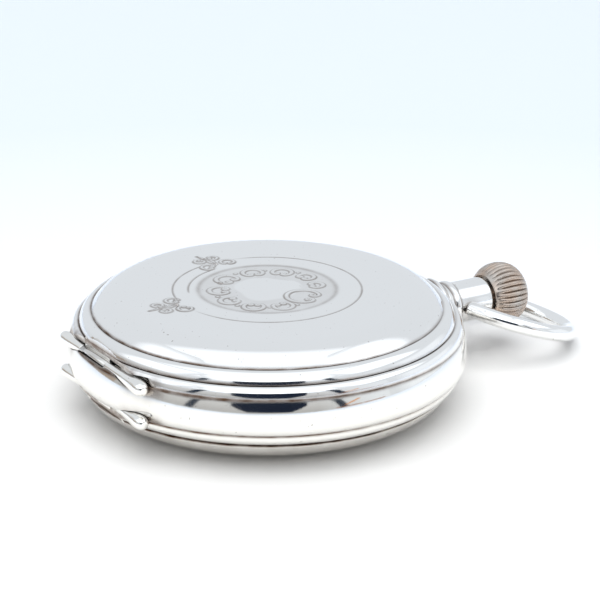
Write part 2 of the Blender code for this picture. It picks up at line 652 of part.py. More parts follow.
def make_escapement():
    tip, root = 3.2, 2.55
    outline = []
    for i in range(ESCAPE_TEETH):
        for share, r in ((-0.32, root), (0.12, tip), (0.22, tip - 0.05), (0.1, root)):
            t = 2 * math.pi * (i + share) / ESCAPE_TEETH
            outline.append((r * math.cos(t), r * math.sin(t)))
    holes = [circle(0.30, 8)]
    add_piece("escape_wheel", placed(prism(outline, 6.75, 6.98, holes), ESCAPE), STEEL, (*ESCAPE, 6.75))
    aim = heading(PALLET, BALANCE)
    half = [(2.9, 0.2), (3.3, 0.24), (3.3, 0.55), (2.7, 0.55), (2.4, 0.25), (0.7, 0.35), (0.5, 2.35)]
    half += [(0.0, 2.5), (-0.75, 1.87), (-0.43, 1.5), (0.0, 1.85), (-0.22, 0.5)]
    fork = half + [(u, -v) for u, v in reversed(half)]
    shape = moved(turned(fork, aim), PALLET)
    piece = add_piece("pallet_fork", prism(shape, 6.7, 6.95), STEEL, (*PALLET, 6.7))
    unite(piece, placed(rod(0.2, 6.2, 8.0, 8), PALLET))


def make_balance():
    bar = [(-5.9, -0.45), (5.9, -0.45), (5.9, 0.45), (-5.9, 0.45)]
    rim = ring_of(5.65, 6.5, 5.25, 5.95, 32)
    piece = add_piece("balance_wheel", placed(rim, BALANCE), GILT, (*BALANCE, 5.25))
    aim = heading(BALANCE, PALLET)
    unite(piece, prism(moved(turned(bar, aim + math.pi / 2), BALANCE), 5.4, 5.8))
    cut(piece, placed(rod(0.42, 5.0, 6.2, 12), BALANCE))
    staff = [(0, 4.1), (0.2, 4.1), (0.2, 4.6), (0.38, 4.6), (0.38, 6.6), (0.2, 6.6), (0.2, 8.1), (0, 8.1)]
    add_piece("balance_staff", placed(lathe(staff, SMALL_ROUND), BALANCE), STEEL, (*BALANCE, 5.25))
    roller = add_piece("roller_table", placed(ring_of(0.42, 1.25, 6.12, 6.32, 16), BALANCE), STEEL,
                       (*BALANCE, 5.25))
    pin = (BALANCE[0] + 0.95 * math.cos(aim), BALANCE[1] + 0.95 * math.sin(aim))
    unite(roller, placed(rod(0.15, 6.2, 6.98, 8), pin))
    spiral = spiral_strip(BALANCE, 0.75, 3.4, 4, 0.12, 4.78, 5.0, 12)
    add_piece("hairspring", spiral, BLUED, (*BALANCE, 5.25))
    lever = capsule(BALANCE, (BALANCE[0] - 2.2, BALANCE[1] + 3.4), 0.3)
    hub = placed(ring_of(0.9, 1.35, 3.6, 3.85, 16), BALANCE)
    piece = add_piece("regulator", hub, STEEL, (*BALANCE, 3.6))
    unite(piece, prism(lever, 3.6, 3.85))
    cut(piece, placed(rod(0.9, 3.2, 4.2, 16), BALANCE))


# Plates and bridges


def case_screw_spot(name):
    return on_arc(CASE_SCREW_RADIUS, CASE_SCREW_BEARINGS[name])


def make_mainplate():
    profile = [(0, PLATE_LOW), (20.1, PLATE_LOW), (20.1, 8.0), (21.2, 8.0), (21.2, 9.95), (19.3, 9.95)]
    profile += [(19.3, PLATE_HIGH), (0, PLATE_HIGH)]
    piece = add_piece("mainplate", lathe(profile, PLATE_ROUND), GILT)
    cut(piece, placed(rod(9.35, 7.0, 8.35, 24), BARREL))
    cut(piece, box((10.6, -2.6, 7.0), (22.0, 2.6, 10.5)))
    small = [(CENTRE, 0.7), (BARREL, 0.8), (FOURTH, 0.5)]
    small += [(spot, 0.4) for spot in (THIRD, ESCAPE, PALLET, BALANCE)]
    small += [(spot, 0.6) for spot, _ in BRIDGE_SCREWS.values()]
    drills = [placed(rod(radius, 7.0, 9.2, 8, phase=0.1), spot) for spot, radius in small]
    for name in CASE_SCREW_BEARINGS:
        drills.append(placed(rod(0.6, 7.0, 8.75, 8, phase=0.1), case_screw_spot(name)))
    cut(piece, joined(drills))


def make_barrel_bridge():
    outline = arc(MOVEMENT_RADIUS, 9.5, 152, 16) + [(-8.0, 5.5), (-3.6, 1.4), (-2.2, -1.6), (2.2, -2.4)]
    outline += [(8.0, -4.6), (12.3, -7.0)] + arc(MOVEMENT_RADIUS, -24, -9.5, 4)
    outline += [(14.3, -2.7), (14.3, -1.9), (11.8, -1.9), (11.8, 1.9), (14.3, 1.9), (14.3, 2.7)]
    holes = [circle(0.9, 12, BARREL), circle(0.5, 10, CENTRE), circle(0.55, 8, CROWN_WHEEL)]
    holes.append(circle(0.35, 8, CLICK))
    piece = add_piece("barrel_bridge", prism(outline, BRIDGE_LOW, BRIDGE_HIGH, holes), GILT)
    left = arc(MOVEMENT_RADIUS, 116, 152, 5) + [(-8.0, 5.5), (-7.3, 9.5), (-6.9, 14.5)]
    right = arc(MOVEMENT_RADIUS, 9.5, 40, 5) + [(12.6, 9.8), (12.4, 3.0)]
    lower = arc(MOVEMENT_RADIUS, -24, -9.5, 4) + [(14.3, -3.2), (12.3, -3.2), (12.3, -7.0)]
    for foot in (left, right, lower):
        unite(piece, prism(foot, BRIDGE_LOW, FOOT_TOP))
    cut(piece, placed(rod(0.6, 5.0, 7.6, 10), BRIDGE_SCREWS["barrel_bridge_screw"][0]))
    cut(piece, placed(rod(0.35, 5.0, 7.6, 8), CLICK))


def make_train_bridge():
    outline = [(-0.6, -4.3), (2.6, -4.3), (7.2, -5.9), (11.6, -8.2)] + arc(MOVEMENT_RADIUS, -38, -74, 5)
    outline += [(1.2, -15.2), (-3.6, -16.6)] + arc(1.4, -60, -240, 5, (-6.2, -16.6)) + [(-6.6, -13.2)]
    outline += [(-5.9, -11.6), (-4.4, -10.2), (-2.2, -8.5), (-1.2, -6.2)]
    holes = [circle(0.4, 8, THIRD), circle(0.4, 8, FOURTH), circle(0.4, 8, ESCAPE)]
    piece = add_piece("train_bridge", prism(outline, BRIDGE_LOW, BRIDGE_HIGH, holes), GILT)
    foot = arc(MOVEMENT_RADIUS, -38, -72, 5) + [(6.6, -14.5), (6.9, -8.6), (11.2, -8.9)]
    unite(piece, prism(foot, BRIDGE_LOW, FOOT_TOP))
    unite(piece, placed(rod(1.2, BRIDGE_LOW, FOOT_TOP, 12), (-6.2, -16.6)))
    cut(piece, placed(rod(0.6, 5.0, 7.6, 10), BRIDGE_SCREWS["train_bridge_screw"][0]))


def make_balance_cock():
    foot = arc(MOVEMENT_RADIUS, 163, 190, 4) + [(-12.2, 1.5), (-12.0, 4.0)]
    arm = arc(2.0, -150, 30, 7, BALANCE) + [(-12.2, 1.5), (-18.2, 0.0)]
    piece = add_piece("balance_cock", prism(arm, COCK_LOW, COCK_HIGH, [circle(0.4, 8, BALANCE)]), GILT)
    unite(piece, prism(foot, COCK_LOW, FOOT_TOP))
    cut(piece, placed(rod(0.6, 3.0, 7.6, 10), BRIDGE_SCREWS["balance_cock_screw"][0]))


def make_pallet_bridge():
    aim = heading(ESCAPE, BALANCE) + math.pi / 2
    ends = [(PALLET[0] + s * 3.5 * math.cos(aim), PALLET[1] + s * 3.5 * math.sin(aim)) for s in (-1, 1)]
    bar = prism(capsule(*ends, 0.95), 6.02, 6.5, [circle(0.3, 8, PALLET)])
    piece = add_piece("pallet_bridge", bar, GILT)
    for end in ends:
        unite(piece, placed(rod(0.8, 6.2, FOOT_TOP, 10), end))


def make_bridge_screws():
    for name, (spot, top) in BRIDGE_SCREWS.items():
        low = top - 0.55
        profile = [(0, low), (1.1, low), (1.1, top - 0.05), (0.5, top - 0.05), (0.5, 8.3), (0, 8.3)]
        add_piece(name, placed(lathe(profile, SMALL_ROUND), spot), BLUED)


def make_case_screws():
    """Screws at the plate's edge whose heads hook under the ledge inside the band."""
    profile = [(0, 6.6), (1.58, 6.6), (1.58, 7.3), (0.5, 7.3), (0.5, 8.7), (0, 8.7)]
    for name in CASE_SCREW_BEARINGS:
        add_piece(name, placed(lathe(profile, SMALL_ROUND), case_screw_spot(name)), BLUED)


# Dial side


def make_motion_work():
    distance = math.dist(CENTRE, MINUTE_WHEEL)
    towards = heading(CENTRE, MINUTE_WHEEL)
    cannon = pitch_radius(distance, CANNON_LEAVES, MINUTE_TEETH)
    outline = toothed(CANNON_LEAVES, cannon, towards, leaf=True)
    sections = [(8.9, 0.43), (8.9, outline), (9.4, outline), (9.4, 0.62), (11.55, 0.62), (11.55, 0.43)]
    sections.append((8.9, 0.43))
    add_piece("cannon_pinion", stacked(sections), STEEL, (*CENTRE, 8.9))
    phase = mating_phase(CENTRE, MINUTE_WHEEL, CANNON_LEAVES, MINUTE_TEETH, towards)
    minute = pitch_radius(distance, MINUTE_TEETH, CANNON_LEAVES)
    bm = prism(toothed(MINUTE_TEETH, minute, phase), 8.95, 9.25, [circle(0.35, 8)])
    piece = add_piece("minute_wheel", placed(bm, MINUTE_WHEEL), GILT, (*MINUTE_WHEEL, 8.95))
    leaf = pitch_radius(distance, MINUTE_LEAVES, HOUR_TEETH)
    back = heading(MINUTE_WHEEL, CENTRE)
    bm = prism(toothed(MINUTE_LEAVES, leaf, back, leaf=True), 9.15, 9.9, [circle(0.35, 8)])
    unite(piece, placed(bm, MINUTE_WHEEL))
    phase_hour = mating_phase(MINUTE_WHEEL, CENTRE, MINUTE_LEAVES, HOUR_TEETH, back)
    hour = pitch_radius(distance, HOUR_TEETH, MINUTE_LEAVES)
    bm = prism(toothed(HOUR_TEETH, hour, phase_hour), 9.5, 9.8, [circle(0.74, 12)])
    piece = add_piece("hour_wheel", bm, GILT, (*CENTRE, 9.5))
    unite(piece, ring_of(0.72, 1.05, 9.55, 11.1, 12))
    phase_set = mating_phase(MINUTE_WHEEL, SETTING_WHEEL, MINUTE_TEETH, SETTING_TEETH, phase)
    setting = minute * SETTING_TEETH / MINUTE_TEETH
    wheel("setting_wheel", SETTING_WHEEL, SETTING_TEETH, setting, phase_set, 8.95, 9.25, 0.35, look=STEEL)


def make_dial():
    holes = [circle(1.4, 10), circle(0.5, 8, FOURTH)]
    add_piece("dial", prism(circle(20.6, ROUND), DIAL_LOW, DIAL_HIGH, holes), ENAMEL)


def make_hands():
    """Ten past ten, with the small hand on its own sub-dial."""
    hour = arc(1.6, 60, 300, 7) + [(2.6, -0.3), (7.0, -0.35), (8.2, -1.0), (10.8, 0.0)]
    hour += [(8.2, 1.0), (7.0, 0.35), (2.6, 0.3)]
    minute = arc(1.3, 60, 300, 7) + [(2.6, -0.25), (11.5, -0.3), (13.0, -0.75), (17.0, 0.0), (13.0, 0.75)]
    minute += [(11.5, 0.3), (2.6, 0.25)]
    seconds = arc(0.6, 60, 300, 5) + [(3.6, -0.08), (3.6, 0.08)]
    for name, outline, spot, height, bore, clock in (
        ("hour_hand", hour, CENTRE, 10.75, 1.07, 304.0),
        ("minute_hand", minute, CENTRE, 11.25, 0.65, 48.0),
        ("seconds_hand", seconds, FOURTH, 10.8, 0.3, 240.0),
    ):
        shape = turned(outline, math.radians(90.0 - clock))
        bm = prism(moved(shape, spot), height, height + 0.2, [circle(bore, 12, spot)])
        add_piece(name, bm, BLUED, (*spot, height))


def build():
    clear_scene()
    make_case_middle()
    make_front_cover()
    make_back_cover()
    make_cuvette()
    make_bezel_and_crystal()
    make_hinge_pins()
    make_pendant()
    make_bow()
    make_crown()
    make_case_springs()
    make_stem()
    make_keyless_pinions()
    make_levers()
    make_winding_wheels()
    make_barrel()
    add_piece("mainspring", spiral_strip(BARREL, 4.2, 7.0, 3, 0.3, 7.0, 7.8, 16), STEEL, (*BARREL, 6.6))
    make_going_train()
    make_escapement()
    make_balance()
    make_mainplate()
    make_barrel_bridge()
    make_train_bridge()
    make_balance_cock()
    make_pallet_bridge()
    make_bridge_screws()
    make_case_screws()
    make_motion_work()
    make_dial()
    make_hands()


build()
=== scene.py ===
import math

import bmesh
import bpy
import numpy as np
from mathutils import Matrix, Vector


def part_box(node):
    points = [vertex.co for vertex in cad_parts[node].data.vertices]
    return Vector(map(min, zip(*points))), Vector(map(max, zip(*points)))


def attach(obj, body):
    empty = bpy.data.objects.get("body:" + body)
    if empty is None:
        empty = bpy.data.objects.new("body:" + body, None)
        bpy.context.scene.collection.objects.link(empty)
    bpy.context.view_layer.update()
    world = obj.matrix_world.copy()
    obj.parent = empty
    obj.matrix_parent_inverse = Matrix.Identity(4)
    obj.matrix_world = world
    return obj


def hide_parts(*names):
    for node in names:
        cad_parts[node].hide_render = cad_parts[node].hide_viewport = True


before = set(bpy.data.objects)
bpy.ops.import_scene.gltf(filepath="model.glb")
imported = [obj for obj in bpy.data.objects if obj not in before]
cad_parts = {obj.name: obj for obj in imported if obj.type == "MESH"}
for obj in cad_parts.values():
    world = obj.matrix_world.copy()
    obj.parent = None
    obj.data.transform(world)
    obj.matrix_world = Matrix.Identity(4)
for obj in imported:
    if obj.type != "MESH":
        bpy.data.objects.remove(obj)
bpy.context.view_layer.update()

MM = 0.001
TAU = 2 * math.pi

# Case sizes shared by several pieces
HINGE_X = -23.7
LID_HINGE_Z = 9.5
BACK_HINGE_Z = 5.1
NOTCH_START = -11.2
NOTCH_END = 10.75
NOTCH_STEPS = 48
NOTCH_GAP = 0.14
KNUCKLE_RADIUS = 0.64
KNUCKLE_ROOM = 0.88
STEM_Z = 7.1
LID_TOP = 14.6
UPPER_SPLIT = 9.58
LOWER_SPLIT = 4.94
PANEL_RADIUS = 18.0
TURN = 288
SAME_POINT = 1e-4

# Profile points (radius, height) of the grooves and splits where tarnish stays
GROOVES = [(22.2, 12.42), (23.8, 10.98), (24.93, 9.58), (24.72, 4.93), (23.6, 3.28)]

# Axes of the movement (x, y) that several pieces share
CENTRE = (0.0, 0.0)
BARREL = (2.64, 9.85)
THIRD = (1.56, -6.10)
FOURTH = (0.0, -10.6)
ESCAPE = (-4.6, -11.9)
BALANCE = (-10.4, -6.1)


# Mesh helpers


def raw_mesh(bm, name):
    """Turn a bmesh into a mesh and free it."""
    mesh = bpy.data.meshes.new(name)
    bm.to_mesh(mesh)
    bm.free()
    return mesh


def linked(name, data):
    """A new object in the scene that shows a mesh, a light or a camera."""
    obj = bpy.data.objects.new(name, data)
    bpy.context.scene.collection.objects.link(obj)
    return obj


def to_mesh(bm, name, sharp):
    """Bring a millimetre bmesh to metres; edges steeper than the sharp angle stay crisp."""
    bmesh.ops.scale(bm, verts=bm.verts, vec=(MM, MM, MM))
    bmesh.ops.recalc_face_normals(bm, faces=bm.faces)
    mesh = raw_mesh(bm, name)
    mesh.shade_smooth()
    mesh.set_sharp_from_angle(angle=math.radians(sharp))
    return mesh


def add(name, bm, look, body, stands_for=(), sharp=32.0):
    """Make a piece that rides on a body and may stand for CAD nodes."""
    piece = linked(name, to_mesh(bm, name, sharp))
    piece.data.materials.append(look)
    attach(piece, body)
    if stands_for:
        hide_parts(*stands_for)
    return piece


def soften(points, rounds=2, closed=False):
    """Round a profile's corners by cutting them; a point written twice stays sharp."""
    points = [tuple(map(float, p)) for p in points]
    for _ in range(rounds):
        following = points[1:] + points[:1] if closed else points[1:]
        cut = [] if closed else [points[0]]
        for (a, b), (c, d) in zip(points, following):
            cut.append((0.75 * a + 0.25 * c, 0.75 * b + 0.25 * d))
            cut.append((0.25 * a + 0.75 * c, 0.25 * b + 0.75 * d))
        if not closed:
            cut.append(points[-1])
        points = cut
    distinct = [points[0]]
    for p in points[1:]:
        if math.dist(p, distinct[-1]) > SAME_POINT:
            distinct.append(p)
    if closed and math.dist(distinct[0], distinct[-1]) < SAME_POINT:
        distinct.pop()
    return distinct


def corners(*points):
    """Points written twice, which soften leaves sharp."""
    return [p for p in points for _ in range(2)]


def skin(bm, rows):
    """Join rows of vertices that go round an axis; a row of one vertex is a tip."""
    for low, high in zip(rows, rows[1:]):
        count = max(len(low), len(high))
        for i in range(count):
            j = (i + 1) % count
            if len(low) == 1:
                bm.faces.new((low[0], high[i], high[j]))
            elif len(high) == 1:
                bm.faces.new((low[i], low[j], high[0]))
            else:
                bm.faces.new((low[i], low[j], high[j], high[i]))


def lathe(profile, count=TURN, closed=False, bm=None):
    """Turn (radius, height) points about Z."""
    bm = bm or bmesh.new()
    turns = [TAU * i / count for i in range(count)]
    rows = []
    for radius, z in profile:
        if radius < 1e-6:
            rows.append([bm.verts.new((0.0, 0.0, z))])
        else:
            rows.append([bm.verts.new((radius * math.cos(t), radius * math.sin(t), z)) for t in turns])
    skin(bm, rows + rows[:1] if closed else rows)
    return bm


def rod(radius, start, end, count):
    """A plain cylinder along Z."""
    return lathe([(0, start), (radius, start), (radius, end), (0, end)], count)


def turned(bm, angle, axis="Z"):
    bmesh.ops.rotate(bm, verts=bm.verts, matrix=Matrix.Rotation(angle, 3, axis))
    return bm


def moved(bm, step):
    bmesh.ops.translate(bm, verts=bm.verts, vec=step)
    return bm


def laid(bm, centre, axis):
    """Lay a Z-turned shape along X or Y and move it to its centre."""
    if axis == "X":
        turned(bm, math.pi / 2, "Y")
    if axis == "Y":
        turned(bm, -math.pi / 2, "X")
    return moved(bm, centre)


def prism(outline, low, high, holes=()):
    """Extrude a flat outline with holes from one height to another."""
    bm = bmesh.new()
    edges = []
    for loop in (outline, *holes):
        verts = [bm.verts.new((x, y, low)) for x, y in loop]
        edges += [bm.edges.new((a, b)) for a, b in zip(verts, verts[1:] + verts[:1])]
    bmesh.ops.triangle_fill(bm, use_beauty=True, use_dissolve=False, edges=edges, normal=(0, 0, 1))
    made = bmesh.ops.extrude_face_region(bm, geom=bm.faces[:])
    top = [v for v in made["geom"] if isinstance(v, bmesh.types.BMVert)]
    bmesh.ops.translate(bm, verts=top, vec=(0, 0, high - low))
    return bm


def box(low, high):
    outline = [(low[0], low[1]), (high[0], low[1]), (high[0], high[1]), (low[0], high[1])]
    return prism(outline, low[2], high[2])


def circle(radius, count=48, centre=(0.0, 0.0)):
    turns = [TAU * i / count for i in range(count)]
    return [(centre[0] + radius * math.cos(t), centre[1] + radius * math.sin(t)) for t in turns]


def merged(shapes):
    """Several bmeshes as one."""
    whole = shapes[0]
    for shape in shapes[1:]:
        mesh = raw_mesh(shape, "merged")
        whole.from_mesh(mesh)
        bpy.data.meshes.remove(mesh)
    return whole


def carve(bm, cutters):
    """Cut shapes out of a millimetre bmesh; returns a new bmesh."""
    made = []
    for number, shape in enumerate((bm, *cutters)):
        bmesh.ops.recalc_face_normals(shape, faces=shape.faces)
        name = f"carve_{number}"
        made.append(linked(name, raw_mesh(shape, name)))
    for cutter in made[1:]:
        modifier = made[0].modifiers.new("carve", "BOOLEAN")
        modifier.operation = "DIFFERENCE"
        modifier.solver = "EXACT"
        modifier.object = cutter
    evaluated = made[0].evaluated_get(bpy.context.evaluated_depsgraph_get())
    result = bmesh.new()
    result.from_mesh(evaluated.to_mesh())
    evaluated.to_mesh_clear()
    for obj in made:
        mesh = obj.data
        bpy.data.objects.remove(obj, do_unlink=True)
        bpy.data.meshes.remove(mesh)
    return result


def store_tarnish_and_shade(mesh, tarnish_and_shade):
    layer = mesh.attributes.new("tarnish_and_shade", "FLOAT", "POINT")
    layer.data.foreach_set("value", tarnish_and_shade)


def set_tarnish_and_shade(piece, grooves=(), width=0.24, spots=(), pattern=None):
    """Store how much tarnish and painted shade each vertex holds: by groove circles, by given points, by
    a pattern.
    """
    mesh = piece.data
    places = np.empty(len(mesh.vertices) * 3)
    mesh.vertices.foreach_get("co", places)
    places = places.reshape(-1, 3) / MM
    radius = np.hypot(places[:, 0], places[:, 1])
    tarnish_and_shade = np.zeros(len(places))
    # Grooves are darker by the hinge than by the crown
    hinge_side = 1.0 - 0.6 * places[:, 0] / 25.0
    for r, z in grooves:
        distance = np.hypot(radius - r, places[:, 2] - z)
        tarnish_and_shade = np.maximum(tarnish_and_shade, np.minimum(1.0, hinge_side * np.exp(-(distance / width) ** 2)))
    # Spots darken the surface round given points; by the hinge ends and along the hinge edges this is
    # painted shade
    for spot, reach in spots:
        distance = np.linalg.norm(places - np.array(spot), axis=1)
        tarnish_and_shade = np.maximum(tarnish_and_shade, 0.9 * np.exp(-(distance / reach) ** 2))
    if pattern:
        tarnish_and_shade = np.maximum(tarnish_and_shade, pattern(places))
    store_tarnish_and_shade(mesh, tarnish_and_shade)


# Materials


def principled(name, colour, metallic, roughness):
    look = bpy.data.materials.new(name)
    look.use_nodes = True
    shader = look.node_tree.nodes["Principled BSDF"]
    shader.inputs["Base Color"].default_value = (*colour, 1.0)
    shader.inputs["Metallic"].default_value = metallic
    shader.inputs["Roughness"].default_value = roughness
    return look, look.node_tree, shader


def node(tree, kind, **values):
    made = tree.nodes.new(kind)
    for key, value in values.items():
        if key in made.inputs:
            made.inputs[key].default_value = value
        else:
            setattr(made, key, value)
    return made


def own_place(tree):
    """Where a surface point is, in its piece's own metres."""
    return node(tree, "ShaderNodeTexCoord").outputs["Object"]


def noise(tree, scale, stretch=(1.0, 1.0, 1.0), detail=3.0, turn=0.0):
    """Noise in the piece's own metres; scale is in features per metre."""
    mapping = node(tree, "ShaderNodeMapping")
    mapping.inputs["Scale"].default_value = stretch
    mapping.inputs["Rotation"].default_value = (0.0, 0.0, turn)
    made = node(tree, "ShaderNodeTexNoise", Scale=scale, Detail=detail)
    tree.links.new(own_place(tree), mapping.inputs["Vector"])
    tree.links.new(mapping.outputs["Vector"], made.inputs["Vector"])
    return made.outputs["Fac"]


def ramp(tree, source, low, high, first=0.0, last=1.0):
    """Map a value from low-high to first-last."""
    made = node(tree, "ShaderNodeMapRange")
    for socket, value in zip(("From Min", "From Max", "To Min", "To Max"), (low, high, first, last)):
        made.inputs[socket].default_value = value
    tree.links.new(source, made.inputs["Value"])
    return made.outputs["Result"]


def math_node(tree, operation, *values):
    made = node(tree, "ShaderNodeMath", operation=operation)
    for socket, value in zip(made.inputs, values):
        if isinstance(value, (int, float)):
            socket.default_value = value
        else:
            tree.links.new(value, socket)
    return made.outputs[0]


def vector_node(tree, operation, source, constant):
    """A vector operation between a source and a constant; gives its outputs."""
    made = node(tree, "ShaderNodeVectorMath", operation=operation)
    made.inputs[1].default_value = constant
    tree.links.new(source, made.inputs[0])
    return made.outputs


def own_axes(tree):
    """A surface point's X, Y and Z in its piece's own metres."""
    split = node(tree, "ShaderNodeSeparateXYZ")
    tree.links.new(own_place(tree), split.inputs[0])
    return split.outputs


def paint(tree, shader, factor, first, second):
    """Blend two colours into a shader's base colour."""
    tree.links.new(mix_colour(tree, factor, first, second), shader.inputs["Base Color"])


def roughen(tree, shader, source, low, high, smooth, rough):
    """Let a pattern decide how rough a shader is."""
    tree.links.new(ramp(tree, source, low, high, smooth, rough), shader.inputs["Roughness"])


def stored_tarnish_and_shade(tree):
    return node(tree, "ShaderNodeAttribute", attribute_name="tarnish_and_shade").outputs["Fac"]


def mix_colour(tree, factor, first, second):
    made = node(tree, "ShaderNodeMix", data_type="RGBA")
    tree.links.new(factor, made.inputs[0])
    for socket, value in ((made.inputs[6], first), (made.inputs[7], second)):
        if isinstance(value, tuple):
            socket.default_value = (*value, 1.0)
        else:
            tree.links.new(value, socket)
    return made.outputs[2]


def bump(tree, shader, height, strength, distance):
    made = node(tree, "ShaderNodeBump", Strength=strength, Distance=distance)
    tree.links.new(height, made.inputs["Height"])
    tree.links.new(made.outputs["Normal"], shader.inputs["Normal"])


POLISH = 0.045
TARNISH_AND_SHADE = (0.13, 0.075, 0.045)


def silver(name, colour=(0.93, 0.925, 0.91)):
    """Polished silver: hairline scratches, faint handling haze, brown tarnish and painted shade where
    the tarnish-and-shade mask is stored.
    """
    look, tree, shader = principled(name, colour, 1.0, POLISH)
    lines = ramp(tree, noise(tree, 900, (1.0, 14.0, 1.0), 4.0, 0.5), 0.60, 0.80)
    cross = ramp(tree, noise(tree, 700, (16.0, 1.0, 1.0), 4.0, -0.3), 0.62, 0.82)
    scratches = math_node(tree, "MAXIMUM", lines, cross)
    pits = ramp(tree, noise(tree, 2600, detail=1.0), 0.74, 0.80)
    patchy = ramp(tree, noise(tree, 500, detail=5.0), 0.25, 0.65, 0.6, 1.0)
    tarnish_and_shade = math_node(tree, "MULTIPLY", stored_tarnish_and_shade(tree), patchy)
    tarnish_shade_and_pits = math_node(tree, "MAXIMUM", tarnish_and_shade, math_node(tree, "MULTIPLY", pits, 0.55))
    # Painted shade: the stored mask also darkens the crevices by the hinge, the engraved field's edge
    # and the underside, besides real tarnish
    paint(tree, shader, tarnish_shade_and_pits, colour, TARNISH_AND_SHADE)
    haze = ramp(tree, noise(tree, 160, detail=4.0), 0.35, 0.75, POLISH, POLISH + 0.06)
    worn = math_node(tree, "MULTIPLY_ADD", scratches, 0.06, haze)
    rough = math_node(tree, "MULTIPLY_ADD", tarnish_and_shade, 0.30, worn)
    tree.links.new(rough, shader.inputs["Roughness"])
    bump(tree, shader, scratches, 0.04, 0.00002)
    return look


# Lid


def lid_profile():
    """Outside from the engraved panel's edge down to the split, then inside back to the axis."""
    outside = corners((PANEL_RADIUS, LID_TOP)) + [(18.6, 14.59), (19.7, 14.38), (20.65, 13.97)]
    outside += [(21.4, 13.43), (21.95, 12.88), (22.22, 12.56)]
    outside += corners((22.28, 12.48), (22.1, 12.42), (22.34, 12.46))
    outside += [(22.55, 12.5), (22.95, 12.38), (23.35, 12.08), (23.63, 11.68), (23.79, 11.32)]
    outside += corners((23.86, 11.06), (23.7, 10.98), (23.95, 11.0)) + [(24.15, 11.04), (24.45, 10.9)]
    outside += [(24.72, 10.55), (24.87, 10.15), (24.94, 9.85), (24.97, 9.66)] + corners((24.93, 9.6))
    inside = corners((24.45, 9.6)) + [(24.2, 10.3), (23.3, 10.6), (22.85, 11.6), (21.8, 12.1)]
    inside += [(21.3, 12.65), (20.3, 13.4), (19.0, 13.9), (0, 14.05)]
    return soften(outside, 3), soften(inside, 1)


NEAR_KNOTS = [
    (0.0, 0.64), (4.7, 0.64), (6.2, 0.68), (7.6, 0.80), (8.8, 0.93), (9.8, 0.97),
    (10.4, 0.88), (10.8, 0.68), (11.0, 0.45), (11.06, 0.0),
]
FAR_KNOTS = [
    (0.0, 0.64), (4.7, 0.64), (6.0, 0.67), (7.4, 0.76), (8.6, 0.86), (9.4, 0.88),
    (9.95, 0.78), (10.3, 0.58), (10.47, 0.38), (10.52, 0.0),
]


def teardrop_radius(y, far=False):
    """Radius of a hinge end at a distance y from the middle of the hinge; the far pair is slimmer."""
    return float(np.interp(abs(y), *zip(*(FAR_KNOTS if far else NEAR_KNOTS))))


def hinge_notch(hinge_z, way, level):
    """Clears a cover's edge of the hinge ends; way is 1 above the hinge and -1 below it."""
    outline = [(NOTCH_START, level)]
    for i in range(NOTCH_STEPS + 1):
        y = NOTCH_START + (NOTCH_END - NOTCH_START) * i / NOTCH_STEPS
        outline.append((y, hinge_z + way * teardrop_radius(y) + way * NOTCH_GAP))
    outline.append((NOTCH_END, level))
    if way < 0:
        outline[1:] = outline[:0:-1]
    notch = prism(outline, 0.0, 4.6)
    bmesh.ops.rotate(notch, verts=notch.verts, matrix=Matrix(((0, 0, 1), (1, 0, 0), (0, 1, 0))))
    return moved(notch, (-27.15, 0, 0))


def teardrop_hollow(side, hinge_z):
    """The room that a hinge end lies in: a little wider than the end itself."""
    far = side > 0
    last = 10.58 if far else 11.11
    profile = [(0.0, side * 4.6), (0.86, side * 4.6)]
    profile += [(teardrop_radius(y, far) + 0.09, side * y) for y in np.linspace(4.8, last - 0.35, 24)]
    tip = profile[-1][0]
    profile += [(0.75 * tip, side * (last - 0.1)), (0.4 * tip, side * (last - 0.02)), (0.0, side * last)]
    return laid(lathe(profile, 40), (HINGE_X, 0.0, hinge_z), "Y")


def make_lid(look):
    outside, inside = lid_profile()
    bm = lathe(outside + inside)
    rim = [v for v in bm.verts if abs(v.co.z - LID_TOP) < 1e-6]
    nearest = min(math.hypot(v.co.x, v.co.y) for v in rim)
    ring = [v for v in rim if math.hypot(v.co.x, v.co.y) < nearest + 1e-4]
    ring.sort(key=lambda v: math.atan2(v.co.y, v.co.x))
    bm.faces.new(ring)
    flat = box((-27.0, -9.5, 9.0), (-23.54, 9.5, 12.42))
    bm = carve(bm, [hinge_notch(LID_HINGE_Z, 1, 8.0), flat])
    engrave(bm)
    piece = add("front_cover_polished", bm, look, "front_cover", ["front_cover"], sharp=40)
    # Painted shadow: dark spots along the hinge edge and by the hinge ends' tips stand for the shade
    # under the hinge barrel and in its crevices
    edges = [((HINGE_X, y, 10.4), 0.9) for y in np.linspace(-9, 9, 13)]
    edges += [((-22.6, -11.1, 10.1), 1.0), ((-22.9, 10.5, 10.1), 0.8)]
    set_tarnish_and_shade(piece, GROOVES, spots=edges, pattern=engraving_tarnish_and_shade)


